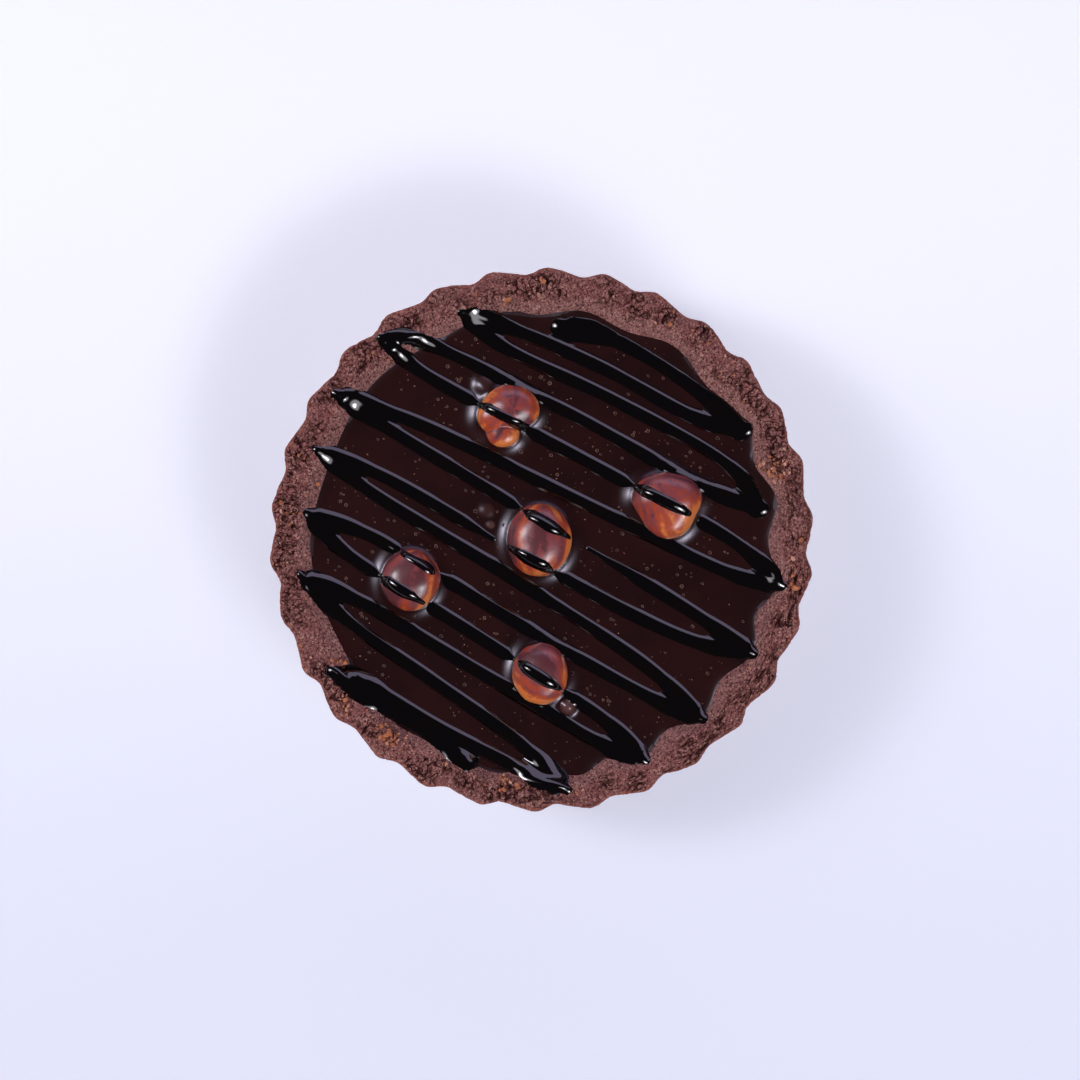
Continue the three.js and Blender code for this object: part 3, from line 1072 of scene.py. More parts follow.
def swept(first: Lobe, last: Lobe, steps: int = 9) -> tuple[Lobe, ...]:
    """Lobes in even steps from first to last, which together make one smooth egg."""
    a, b = (np.array([lobe.x, lobe.y, lobe.rx, lobe.ry]) for lobe in (first, last))
    return tuple(Lobe(*mix(a, b, k / (steps - 1))) for k in range(steps))


@dataclass(frozen=True)
class Nut:
    """A hazelnut: its lobes and over how many mm they blend, and how its skin is marked.

    Streaks run between the two ends of axis. The skin is darker by shade round the direction crown,
    out to where the cosine of the way from it is calm. Its edge has painted light, an orange glow
    as of light shining through the glaze, most at the bearing warm, in degrees, by the amount
    edge_glow, and lopsided is how much less so on the other side. A cracked nut has painted shade,
    a dark crease, round its last lobe.
    """

    lobes: tuple[Lobe, ...]
    axis: Triple
    crown: Triple
    blend: float = 0.02
    calm: float = 0.6
    shade: float = 0.48
    warm: float = -60.0
    edge_glow: float = 0.30
    lopsided: float = 0.8
    cracked: bool = False

    def out(self, x: Array, y: Array) -> Array:
        """About how far places in plan are outside the outline, in mm, and below zero inside."""
        return reduce(partial(smooth_least, reach=self.blend), [a.out(x, y) for a in self.lobes])


NUTS: tuple[Nut, ...] = (
    Nut(
        (
            Lobe(-5.8, 24.7, 5.7, 4.4), Lobe(-8.9, 23.2, 3.5, 3.2, fill_level=23.4),
            Lobe(-7.2, 19.9, 3.2, 2.7, fill_level=23.2),
        ),
        axis=(0.3, 0.2, 0.9), crown=(0.35, 0.3, 0.89), blend=1.2, calm=0.55, shade=0.26,
        warm=-140, edge_glow=0.5, lopsided=0.3, cracked=True,
    ),
    Nut(
        swept(Lobe(23.5, 7.9, 6.75, 4.9), Lobe(23.8, 4.6, 4.9, 4.5)),
        axis=(-0.35, 0.75, 0.55), crown=(0.2, 0.62, 0.76), calm=0.4, shade=0.20,
        warm=-100, lopsided=0.9,
    ),
    Nut((Lobe(-0.5, -0.1, 6.2, 6.9),), axis=(0.12, 1.0, 0.1), crown=(0.2, 0.1, 0.97), warm=-40),
    Nut((Lobe(-24.8, -7.6, 5.6, 6.0),), axis=(0.25, 0.9, 0.35), crown=(-0.2, 0.2, 0.96), warm=-35),
    Nut(
        (Lobe(-0.3, -25.3, 5.3, 6.0),), axis=(0.75, -0.6, 0.3), crown=(0.25, 0.6, 0.76),
        warm=-150, edge_glow=0.2, lopsided=0.4,
    ),
)


@dataclass
class Filling:
    """The ganache: level, climbing the case and each nut, with a few coated chips in it.

    Each chip is its middle x and y, its radius, how bare of ganache it is, and how far it stands
    proud, in shares of its radius. edge_curl and foot_curl are how far the ganache curls up at the
    case and at the foot of a nut, and over what distance. shrink is the radius over which the
    rings of the grid shrink to the middle.
    """

    case: PastryCase
    fill_level: float = FILL_LEVEL
    clearance: float = 0.3
    film_reach: float = -0.12
    film_wander: float = 0.34
    film_width: float = 0.7
    edge_curl: Pair = (0.05, 1.2)
    foot_curl: Pair = (0.16, 0.25)
    collar_slope: float = 0.44
    collar_width: float = 1.75
    collar_ease: float = 0.48
    shrink: float = 44.0
    columns: int = 640
    rings: int = 130
    chips: tuple[tuple[float, float, float, float, float], ...] = (
        (-11.0, 29.2, 2.0, 0.3, 0.45), (5.0, -31.5, 1.7, 1.0, 0.75), (-10.3, 5.5, 1.6, 0.3, 0.25),
        (-9.6, 2.8, 0.9, 0.8, 0.25),
    )

    def height(self, x: Array, y: Array) -> Array:
        """Height of the ganache's top inside the case.

        The level, plus a curve that dies away from the case over 1 mm, an even slope up to each nut
        that eases out at collar_width from it and steepens close by, a dome over each chip, and a
        very slight sway.

        Args:
            x, y: places in plan.

        Returns:
            A height for each place.
        """
        (lift, fade), (rise, foot) = self.edge_curl, self.foot_curl
        _, bearing = self.case.share(x, y)
        inwards = np.maximum(self.case.contact(bearing) - np.hypot(x, y), 0.0)
        curl = self.case.edge_level + lift - self.fill_level
        z = self.fill_level + curl * np.exp(-inwards / fade)
        for nut in NUTS:
            out = np.maximum(nut.out(x, y), -0.3)
            past = (self.collar_width - np.minimum(out, 9.0)) / self.collar_ease
            z = z + self.collar_slope * self.collar_ease * np.log1p(np.exp(past))
            z = z + rise * np.exp(-np.maximum(out, 0.0) / foot)
        for cx, cy, radius, _, proud in self.chips:
            away = np.hypot(x - cx, y - cy) / radius
            z = z + proud * radius * np.exp(-((away / 0.85) ** 2.4))
        return z + 0.03 * value_noise(np.stack([x, y, 0 * x], axis=-1), 9.0, 77)

    def build(self) -> Piece:
        """Builds the ganache as one turned grid.

        The rings go up the inside of the case, over the foot of the rim as a thin film, and in over
        the top, closest together at the case.

        Returns:
            The piece.
        """
        bearing = np.arange(self.columns) * TAU / self.columns
        inner, outer = self.case.contact(bearing), self.case.edge(bearing)
        rings, film = [], []
        floor = self.case.floor_top + self.clearance
        for down in (1.0, 0.5, 0.1):
            r = inner - self.case.inner_lean * down - self.clearance
            rings.append(polar(r, bearing, mix(self.case.edge_level, floor, down)))
            film.append(0.0)
        spots = polar(1, bearing, 0) * self.case.contact_radius
        wander = self.film_wander * fractal(spots, 4.0, 3, 5)
        reach = np.maximum(self.film_reach + wander, 0.03)
        for climb in (1.0, 0.97, 0.85, 0.6, 0.3, 0.0):
            r = inner + reach * climb
            share = np.maximum(r - inner, 0) / (outer - inner)
            proud = -0.5 if climb == 1.0 else 0.05
            rings.append(polar(r, bearing, self.case.rim_top(share, bearing) + proud))
            film.append(1.0)
        near, far = np.linspace(0, 1.6, 10)[1:], np.linspace(1.6, self.shrink, self.rings)[1:-1]
        for inwards in (*near, *far):
            ring = polar(inner * (1 - inwards / self.shrink), bearing, 0)
            ring[:, 2] = self.height(ring[:, 0], ring[:, 1])
            rings.append(ring)
            film.append(float(1 - ease(np.array(inwards), 0.15, self.film_width)))
        top = self.height(np.array([0.0]), np.array([0.0]))[0]
        places = np.concatenate([[[0, 0, floor]], *rings, [[0, 0, top]]])
        chip = np.zeros(len(places))
        for cx, cy, radius, bare, _ in self.chips:
            away = np.hypot(places[:, 0] - cx, places[:, 1] - cy) / radius
            on_top = places[:, 2] > self.fill_level - 1
            chip = np.maximum(chip, bare * ease(away, 1.1, 0.4) * on_top)
        patches = np.tile(ease(wander, 0.05, 0.3), len(film)) * np.repeat(film, self.columns)
        faces = lathe_faces(len(rings), self.columns)
        marks = {"film": np.pad(patches, 1), "chip": chip}
        skin = GanacheFinish().make()
        piece = put_mesh("ganache_filling", places, faces, skin, marks=marks)
        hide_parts("ganache")
        return piece


@dataclass
class Bubbles:
    """Tiny bubbles set in the ganache's top, one joined mesh of rings with a sunk middle.

    A bubble is a profile of radius and height with a raised rim and a sunk middle, turned about its
    own upright axis, and rim is how much painted light each ring of it has, as light caught on the
    bubble's rim. The share grouped of the bubbles lies about group_size from the one before.
    Bubbles smaller than plain_below have no dark middle.
    """

    filling: Filling
    count: int = 430
    sides: int = 10
    scatter: float = 43.0
    grouped: float = 0.45
    group_size: float = 1.1
    edge_gap: float = 1.2
    gap: float = 0.4
    least: float = 0.07
    spread: float = 0.33
    plain_below: float = 0.17
    profile: tuple[Pair, ...] = (
        (1.0, -0.3), (1.0, 0.1), (0.86, 0.24), (0.68, 0.12), (0.55, 0.02),
    )
    rim: tuple[float, ...] = (1, 1, 1, 0.6, 0)
    seed: int = 5

    def build(self, clear: PlanField) -> Piece:
        """Scatters the bubbles evenly over the top, some of them in loose groups.

        Args:
            clear: distance in mm from places in plan to the nearest glaze or nut.

        Returns:
            The object.
        """
        draw = np.random.default_rng(self.seed)
        r = self.scatter * np.sqrt(draw.random(5 * self.count))
        turn = draw.random(len(r)) * TAU
        x, y = r * np.cos(turn), r * np.sin(turn)
        follow = draw.random(len(r)) < self.grouped
        leader = np.maximum(np.arange(len(r)) - 1, 0)
        x = np.where(follow, x[leader] + draw.normal(size=len(r)) * self.group_size, x)
        y = np.where(follow, y[leader] + draw.normal(size=len(r)) * self.group_size, y)
        inside = np.hypot(x, y) < self.filling.case.contact(np.arctan2(y, x)) - self.edge_gap
        free = inside & (clear(x, y) > self.gap)
        x, y = x[free][: self.count], y[free][: self.count]
        size = self.least + self.spread * draw.random(len(x)) ** 2.9
        angle = np.arange(self.sides) * TAU / self.sides
        radius, high = np.array(self.profile).T[..., None]
        rings = polar(radius, angle, high).reshape(-1, 3)
        unit = np.concatenate([[[0, 0, self.profile[0][1]]], rings, [[0, 0, 0]]])
        places, faces = scattered(
            np.stack([x, y, self.filling.height(x, y)], axis=-1),
            unit[None] * size[:, None, None],
            lathe_faces(len(self.profile), self.sides),
        )
        # painted light on each bubble's rim: 1 on the rim rings, none in the middle, all over a
        # small bubble
        rim = np.concatenate([[1], np.repeat(self.rim, self.sides), [0]])
        rim = np.maximum(rim[None], (size < self.plain_below)[:, None])
        return put_mesh(
            "ganache_bubbles", places, faces, BubbleFinish().make(),
            marks={"rim": rim.ravel()},
        )


# ------------------------------------------------------------------------------------- hazelnuts


@dataclass
class Hazelnut:
    """One hazelnut, star-shaped round its own middle.

    Its lumps are of two sizes, each given by its height in mm and how many there are in a radian.
    """

    number: int
    nut: Nut
    squared: float = 2.5
    fine_lumps: Pair = (0.12, 3)
    broad_lumps: Pair = (0.22, 1.2)
    calm: float = 0.42
    streaks: float = 0.85
    columns: int = 150
    rows: int = 84

    def warmth(self, places: Array, way: Array) -> Array:
        """How orange the skin is at each vertex.

        It is low round the crown's direction, high near the warm part of the outline, where the
        orange is a painted glow as of light shining through the glaze, and streaks run along the
        meridians between the nut's two ends.

        Args:
            places: (n, 3) places on the nut.
            way: (n, 3) unit directions to them from the nut's middle.

        Returns:
            (n) numbers, about 0 where the skin is purple-brown and 1 where it is orange.
        """
        axis, crown = (np.array(v) / np.linalg.norm(v) for v in (self.nut.axis, self.nut.crown))
        side = np.cross(axis, [0.3, -0.5, 0.81])
        side /= np.linalg.norm(side)
        across = np.cross(axis, side)
        lean = way @ axis
        round_axis = np.stack([way @ side, way @ across], -1)
        round_axis /= np.maximum(np.linalg.norm(round_axis, axis=1, keepdims=True), 1e-6)
        grain = np.concatenate([round_axis * 2.8, lean[:, None] * 0.8 + 9.1 * self.number], axis=1)
        streak = fractal(grain, 1.0, 3, 61)
        dull = ease(way @ crown, self.nut.calm, self.nut.calm + 0.35)
        # painted light: the outline's edge glows orange, more on the warm side
        rim = ease(self.nut.out(places[:, 0], places[:, 1]), -2.4, -0.2)
        facing = np.cos(np.arctan2(way[:, 1], way[:, 0]) - math.radians(self.nut.warm))
        rim *= mix(1.0, ease(facing, -0.6, 0.8), self.nut.lopsided)
        calm = self.calm - self.nut.shade * dull + self.nut.edge_glow * rim
        return calm + self.streaks * streak * (1 - 0.5 * dull)

    def reach(self, lobe: Lobe, middle: Array, way: Array) -> Array:
        """How far the surface of a lobe is from the nut's middle.

        The way out of the lobe's ellipsoid is the greater root of a square equation. It is then
        lengthened to the squared ellipsoid, radius**p + height**p = 1 with p = squared.

        Args:
            lobe: the lobe.
            middle: the nut's middle.
            way: (n, 3) unit directions from there.

        Returns:
            (n) distances, and 0 where the lobe isn't met.
        """
        size = np.array([lobe.rx, lobe.ry, lobe.tall])
        start = (middle - lobe.middle) / size
        step = way / size
        a, b, c = (step**2).sum(1), (step * start).sum(1), (start**2).sum() - 1
        root = np.sqrt(np.maximum(b * b - a * c, 0.0))
        out = np.where(b * b - a * c > 0, (-b + root) / a, 0.0)
        hit = start + out[:, None] * step
        across = np.hypot(hit[:, 0], hit[:, 1]) ** self.squared + np.abs(hit[:, 2]) ** self.squared
        grow = np.maximum(across, 0.1) ** (-1 / self.squared) - 1
        return out + grow * np.maximum((hit * size * way).sum(1), 0.0) * (across > 0.1)

    def build(self, material: Material) -> Piece:
        """Builds the nut.

        Along each direction from the middle the surface lies where the furthest lobe is left, the
        joints between lobes being rounded, and slow lumps are added.

        Args:
            material: the nuts' finish.

        Returns:
            The piece.
        """
        lobes = self.nut.lobes
        middle = mix(lobes[0].middle, np.mean([lobe.middle for lobe in lobes], axis=0), 0.6)
        lean = np.linspace(-np.pi / 2, np.pi / 2, self.rows + 2)[1:-1, None]
        turn = (np.arange(self.columns) * TAU / self.columns)[None, :]
        rings = polar(np.cos(lean), turn, np.sin(lean)).reshape(-1, 3)
        way = np.concatenate([[[0, 0, -1.0]], rings, [[0, 0, 1.0]]])
        reach, crease = None, 0.0
        for lobe in lobes:
            out = self.reach(lobe, middle, way)
            if reach is not None and self.nut.cracked and lobe is lobes[-1]:
                # painted shade: darker in the crease where the last lobe meets the others
                crease = ease(np.abs(reach - out), 0.45, 0.0)
            reach = out if reach is None else -smooth_least(-reach, -out, self.nut.blend)
        (fine, often), (broad, seldom) = self.fine_lumps, self.broad_lumps
        lumps = fine * value_noise(way * often + self.number * 7.1, 1.0, 3)
        lumps = lumps + broad * value_noise(way * seldom + self.number * 3.7, 1.0, 9)
        places = middle + way * (reach + lumps)[:, None]
        faces = lathe_faces(self.rows, self.columns)
        # the warmth mark, lowered by the painted shade in the crease
        marks = {"warmth": self.warmth(places, way) - 0.7 * crease}
        piece = put_mesh(
            f"glazed_hazelnut_{self.number}", places, faces, material, marks=marks
        )
        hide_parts(f"hazelnut_{self.number}")
        return piece


# ------------------------------------------------------------------------------------ glaze line


@dataclass(frozen=True)
class Turn:
    """A turn of the glaze line: the knot where it comes in, its tip, and the knot it leaves by.

    A positive bow moves the middle of the leaving strand towards +Y, in mm, and a negative one
    towards -Y. blob is the extra width where the line starts or ends, swell that of the pool, and
    blunt how wide the very tip is, as a share. The foot is how far the tip is drawn out sideways.
    """

    enter: Pair
    tip: Pair
    leave: Pair
    bow: float = 0.0
    blob: float = 0.0
    swell: float = 0.75
    blunt: float = 0.5
    foot: Pair = (0.0, 0.0)


@dataclass(frozen=True)
class Crossing:
    """Where a strand runs over a nut.

    before and after are the gaps in the line at the nut's edge, in mm, and 0 where it only thins.
    inset is how far on the nut it starts and ends, and widths are those at its start, middle and
    end. taper is the length over which it widens again after the gap.
    """

    strand: int
    nut: int
    before: float
    after: float
    inset: Pair
    widths: Triple
    taper: float = 0.0


@dataclass
class Strand:
    """A stretch of the line, as points about 0.2 mm apart with a half width and height at each."""

    middle: Array
    half: Array
    height: Array


@dataclass
class GlazeLine:
    """The one zigzag line of black glaze. Places are in mm in plan.

    A point of the line, point_length long, is at each turn. slow_change is the share that the width
    changes by and the length of such a change. thinning is over how far from a nut's edge the line
    is thin, and cap_ends the shares of a nut's stretch over which its ends widen. bed_least is how
    far the bed may lie below the ground, and over what height that limit is rounded.
    """

    case: PastryCase
    filling: Filling
    width: float = 2.65
    foot_width: float = 3.0
    tip_reach: float = 11.0
    point_length: float = 2.2
    slow_change: Pair = (0.09, 8.0)
    thinning: Pair = (0.2, 2.6)
    cap_ends: Pair = (0.22, 0.55)
    cap_height: float = 1.15
    height_per_half: float = 0.44
    tallest: float = 0.85
    evened: float = 2.8
    bed_least: Pair = (0.1, 0.3)
    rim_gap: float = 0.15
    sink: float = 0.6
    step: float = 0.2
    cell: Triple = (0.50, 0.22, 0.18)
    fine_cell: Triple = (0.42, 0.18, 0.15)
    slant: float = math.radians(-29)
    web: float = 0.5
    margin: float = 3.2
    turns: tuple[Turn, ...] = (
        Turn((11.5, 38.5), (3.4, 40.0), (11.5, 38.5), 1.0, blob=2.2, blunt=0.8),
        Turn((31.0, 26.7), (37.8, 20.6), (29.3, 23.0), 0.9, blunt=1.1, foot=(-0.8, -0.4)),
        Turn((-7.3, 40.5), (-15.2, 42.6), (-7.5, 36.7), 1.0, swell=0.5, blunt=0.4),
        Turn((36.4, 13.1), (41.2, 5.9), (31.8, 9.5), 1.0, blunt=1.1, foot=(-0.7, -0.3)),
        Turn((-24.4, 37.9), (-30.3, 38.0), (-23.6, 32.4), swell=0.2),
        Turn((37.6, -1.2), (45.1, -8.7), (36.3, -6.5)),
        Turn((-24.6, 22.6), (-38.8, 27.5), (-28.1, 20.6)),
        Turn((28.4, -13.6), (39.9, -21.5), (28.2, -18.9), -0.9),
        Turn((-30.4, 12.3), (-42.2, 16.8), (-32.1, 9.1), 0.6),
        Turn((20.9, -24.7), (30.3, -33.7), (23.0, -30.9), -0.4),
        Turn((-32.4, 0.9), (-44.1, 5.0), (-37.7, -1.8), 0.3),
        Turn((12.3, -34.3), (19.6, -41.4), (12.1, -38.8)),
        Turn((-34.5, -11.5), (-45.2, -6.5), (-37.0, -14.9)),
        Turn((-4.5, -38.0), (4.9, -47.2), (-1.5, -44.2), -0.7, swell=1.4),
        Turn(
            (-33.4, -27.1), (-39.2, -24.8), (-33.5, -29.0), swell=1.3, blunt=0.75, foot=(3.8, -1.0)
        ),
        Turn(
            (-18.7, -37.6), (-14.0, -41.8), (-18.7, -37.6), blob=1.4, blunt=0.8, foot=(-0.9, 1.2)
        ),
    )
    crossings: tuple[Crossing, ...] = (
        Crossing(4, 0, 0.0, 0.0, (0.0, 0.0), (1.1, 1.7, 1.5)),
        Crossing(4, 1, 0.0, 1.6, (0.0, 1.3), (0.9, 2.3, 1.9)),
        Crossing(6, 2, 0.0, 3.4, (0.0, 0.3), (0.9, 2.4, 0.5), taper=14.0),
        Crossing(7, 2, 0.0, 2.6, (0.0, 0.2), (1.1, 2.5, 0.6), taper=9.0),
        Crossing(9, 3, 0.0, 1.0, (0.0, 0.9), (1.3, 2.0, 1.3)),
        Crossing(10, 3, 0.0, 1.0, (0.0, 0.9), (1.0, 2.4, 0.6)),
        Crossing(10, 4, 0.0, 0.0, (0.0, 0.0), (0.9, 2.4, 1.3)),
    )
    seed: int = 23
    on_bed: list[Strand] = field(default_factory=list)
    on_nuts: list[Strand] = field(default_factory=list)

    def strand_line(self, number: int) -> Array:
        """The middle line of a strand: a smooth curve through five knots.

        Args:
            number: the turn that it leaves, for the next one.

        Returns:
            (n, 2) places, a step apart.
        """
        start, end = self.turns[number], self.turns[number + 1]
        leave, enter = np.array(start.leave), np.array(end.enter)
        run = enter - leave
        side = np.array([-run[1], run[0]]) / np.linalg.norm(run)
        lift = start.bow if run[0] > 0 else -start.bow
        knots = np.array([start.tip, leave, (leave + enter) / 2 + lift * side, enter, end.tip])
        return curve_through(knots, self.step)

    def half_width(self, along: Array, number: int) -> Array:
        """Half a strand's width: a pool near each tip, a point at it, and slow changes.

        Args:
            along: lengths along the strand.
            number: the turn that it leaves.

        Returns:
            Half widths in mm.
        """
        from_tip = np.minimum(along, along[-1] - along)
        near = np.clip(from_tip / self.tip_reach, 0, 1)
        ends = self.turns[number], self.turns[number + 1]
        blob, swell, blunt = (
            np.where(along < along[-1] / 2, *(getattr(end, size) for end in ends))
            for size in ("blob", "swell", "blunt")
        )
        pool = swell * np.sin(np.pi * near) + blob * (1 - near)
        point = mix(blunt, 1.0, ease(from_tip, 0.0, self.point_length))
        change, length = self.slow_change
        slow = np.stack([along, along * 0 + 31.7 * number, along * 0], axis=-1)
        change = 1 + change * value_noise(slow, length, self.seed)
        return point * (self.width + pool) * change / 2

    def cap(self, line: Array, along: Array, over: Pair, crossing: Crossing) -> Strand:
        """The stretch that lies on a nut.

        Args:
            line: the strand's middle line.
            along: lengths along it.
            over: where it meets the nut's outline and where it leaves it.
            crossing: how it crosses the nut.

        Returns:
            The stretch.
        """
        start, end = over[0] + crossing.inset[0], over[1] - crossing.inset[1]
        on = (along >= start) & (along <= end)
        share = (along[on] - start) / (end - start)
        first, middle, last = crossing.widths
        swell_out, draw_in = self.cap_ends
        body = middle + (last - middle) * ease(share, draw_in, 1.0)
        body = body + (first - middle) * ease(share, swell_out, 0.0)
        return Strand(line[on], body / 2, self.cap_height * self.height_per_half * body / 2)

    def trace(self) -> None:
        """Works out every stretch, on filling and case and on the nuts."""
        for turn in (turn for turn in self.turns if any(turn.foot)):
            drawn = np.linspace(turn.tip, np.add(turn.tip, turn.foot), 10)
            half = np.linspace(turn.blunt * self.width, self.foot_width, len(drawn)) / 2
            self.on_bed.append(Strand(drawn, half, self.height_per_half * half))
        for number in range(len(self.turns) - 1):
            line = self.strand_line(number)
            along = np.arange(len(line)) * self.step
            keep = np.ones(len(line), bool)
            thin = np.ones(len(line))
            for crossing in (c for c in self.crossings if c.strand == number):
                over = np.flatnonzero(NUTS[crossing.nut].out(line[:, 0], line[:, 1]) < 0)
                first, last = along[over[0]], along[over[-1]]
                keep &= (along < first - crossing.before) | (along > last + crossing.after)
                for edge, gap, width in (
                    (first, crossing.before, crossing.widths[0]),
                    (last, crossing.after, crossing.widths[2]),
                ):
                    if gap == 0:
                        away = ease(np.abs(along - edge), *self.thinning)
                        thin *= mix(width / self.width, 1.0, away)
                if crossing.taper:
                    past = along - last - crossing.after
                    thin *= np.where(past > 0, mix(0.3, 1.0, ease(past, 0.0, crossing.taper)), 1.0)
                self.on_nuts.append(self.cap(line, along, (first, last), crossing))
            half = self.half_width(along, number) * thin
            edges = np.flatnonzero(np.diff(np.concatenate([[0], keep.astype(int), [0]])))
            for begin, finish in zip(edges[::2], edges[1::2]):
                if finish - begin > 6:
                    part = slice(begin, finish)
                    tall = np.minimum(self.height_per_half * half[part], self.tallest)
                    self.on_bed.append(Strand(line[part], half[part], tall))

    @property
    def axes(self) -> Array:
        """Unit vectors in plan along the strands' mean direction and across it."""
        cos, sin = math.cos(self.slant), math.sin(self.slant)
        return np.array([[cos, sin], [-sin, cos]])

    def plan(self, u: Array, v: Array) -> tuple[Array, Array]:
        """X and Y of places given along the strands' mean direction and across it."""
        along, across = self.axes
        return u * along[0] + v * across[0], u * along[1] + v * across[1]

    def near(self, grid: Array, spots: Array) -> Array:
        """Numbers of the grid places between the least and the greatest spot, and a margin."""
        low, high = spots.min() - self.margin, spots.max() + self.margin
        return np.flatnonzero((grid > low) & (grid < high))

    def field(self, strands: Sequence[Strand], u: Array, v: Array, h: Array) -> Array:
        """The glaze as a field: below zero inside, in mm, on a slanted box grid.

        Each stretch is a low rounded bead: its top is its height times one less the square of the
        distance from the middle line, in half widths. The field is the height above that top,
        divided by how steep the top is there. Stretches join with rounded webs.

        Args:
            strands: the stretches.
            u: grid places along the strands' mean direction.
            v: grid places across it.
            h: grid heights above what the glaze lies on.

        Returns:
            (len(u), len(v), len(h)) numbers.
        """
        x, y = self.plan(u[:, None], v[None, :])
        out = np.full((len(u), len(v), len(h)), 5.0)
        for strand in strands:
            iu, iv = (self.near(w, strand.middle @ axis) for w, axis in zip((u, v), self.axes))
            box = np.ix_(iu, iv)
            away, half, tall = self.nearest(strand, x[box], y[box])
            rho = np.minimum(away / half, 2.5)
            top = tall * (1 - rho**2)
            steep = np.sqrt(1 + (2 * tall / half * rho) ** 2)
            bead = (h[None, None, :] - top[..., None]) / steep[..., None]
            part = out[iu[0] : iu[-1] + 1, iv[0] : iv[-1] + 1]
            part[:] = smooth_least(part, bead, self.web)
        return np.maximum(out, (-self.sink - h)[None, None, :])

    @staticmethod
    def nearest(strand: Strand, x: Array, y: Array, batch: int = 20000) -> tuple[Array, ...]:
        """Distance from each place to a stretch's middle line, and half width and height there.

        The nearest point is found first, among every third and then its neighbours, and then the
        distance to the line's tangent at it.

        Args:
            strand: the stretch.
            x, y: places in plan.
            batch: how many places are looked at together.

        Returns:
            Distances, half widths and heights, each shaped as x.
        """
        flat = np.stack([x.ravel(), y.ravel()], axis=-1)
        line, end = strand.middle, len(strand.middle) - 1
        tangent = np.gradient(line, axis=0)
        tangent /= np.linalg.norm(tangent, axis=1, keepdims=True)
        best = np.empty(len(flat), int)
        for start in range(0, len(flat), batch):
            gap = flat[start : start + batch, None] - line[None, ::3]
            best[start : start + batch] = (gap**2).sum(-1).argmin(1) * 3
        for shift in (-2, -1, 1, 2):
            other = np.clip(best + shift, 0, end)
            new, old = (((flat - line[which]) ** 2).sum(1) for which in (other, best))
            best = np.where(new < old, other, best)
        gap = flat - line[best]
        along = (gap * tangent[best]).sum(1)
        inner = (best > 0) & (best < end)
        past = ((best == 0) & (along > 0)) | ((best == end) & (along < 0))
        gap = np.where((inner | past)[:, None], gap - along[:, None] * tangent[best], gap)
        found = np.linalg.norm(gap, axis=1), strand.half[best], strand.height[best]
        return tuple(values.reshape(x.shape) for values in found)

    def ground(self, x: Array, y: Array) -> Array:
        """Height of the filling, or of the rim and a little more, at places in plan.

        Args:
            x, y: places in plan.

        Returns:
            A height for each place.
        """
        share, bearing = self.case.share(x, y)
        rim = self.case.rim_top(np.clip(share, 0, 1), bearing)
        rim = rim + self.rim_gap * ease(share, 0.1, 0.4)
        return np.where(share > 0, rim, self.filling.height(x, y))

    def bed(self, x: Array, y: Array) -> Array:
        """Height of the bed under the line: the ground evened out, which fills its hollows.

        It is the mean of thirteen places, in two rings and the middle, but at most 0.1 mm below the
        ground, so that the line stays above the crown of the rim.

        Args:
            x, y: places in plan.

        Returns:
            A height for each place.
        """
        below = self.ground(x, y)
        total = below.copy()
        for radius in (self.evened, self.evened / 2):
            for turn in (k * TAU / 6 for k in range(6)):
                total += self.ground(x + radius * math.cos(turn), y + radius * math.sin(turn))
        least, rounding = self.bed_least
        return -smooth_least(-total / 13, least - below, rounding)

    def nut_bed(self, x: Array, y: Array) -> Array:
        """Height of the nuts' squared ellipsoids, or of the bed beside them, under places in plan.

        Args:
            x, y: places in plan.

        Returns:
            A height for each place.
        """
        best = self.bed(x, y)
        for nut in NUTS:
            for lobe in nut.lobes:
                square = ((x - lobe.x) / lobe.rx) ** 2 + ((y - lobe.y) / lobe.ry) ** 2
                top = lobe.middle[2] + lobe.tall * np.maximum(1 - square**1.25, 0) ** 0.4
                best = np.where(square < 1, -smooth_least(-best, -top, max(nut.blend, 0.05)), best)
        return best

    def clear(self, x: Array, y: Array) -> Array:
        """Distance in mm from places in plan to the nearest glaze or nut."""
        edges = [np.subtract(*self.nearest(strand, x, y)[:2]) for strand in self.on_bed]
        return np.min([nut.out(x, y) for nut in NUTS] + edges, axis=0)

    def mesh(
        self,
        name: str,
        strands: Sequence[Strand],
        bed: PlanField,
        cell: Triple,
        material: Material,
    ) -> None:
        """One mesh of stretches, laid on a bed.

        Args:
            name: the piece's name.
            strands: the stretches.
            bed: the bed's height at places in plan.
            cell: size of the grid's cells along the strands, across them and upright.
            material: the glaze.
        """
        spots = np.concatenate([strand.middle for strand in strands])
        su, sv = (spots @ axis for axis in self.axes)
        u = np.arange(su.min() - 3, su.max() + 3, cell[0])
        v = np.arange(sv.min() - 3, sv.max() + 3, cell[1])
        h = np.arange(-self.sink - 0.3, 1.7, cell[2])
        start = np.array([u[0], v[0], h[0]])
        places, faces = surface_net(self.field(strands, u, v, h), start, np.array(cell))
        x, y = self.plan(places[:, 0], places[:, 1])
        laid = np.stack([x, y, bed(x, y) + places[:, 2]], axis=-1)
        put_mesh(name, laid, faces, material)

    def build(self) -> None:
        """Builds the line's two meshes."""
        self.trace()
        glaze = GlazeFinish().make()
        self.mesh("glaze_line", self.on_bed, self.bed, self.cell, glaze)
        self.mesh("glaze_on_nuts", self.on_nuts, self.nut_bed, self.fine_cell, glaze)


# ---------------------------------------------------------------------------------------- crumbs


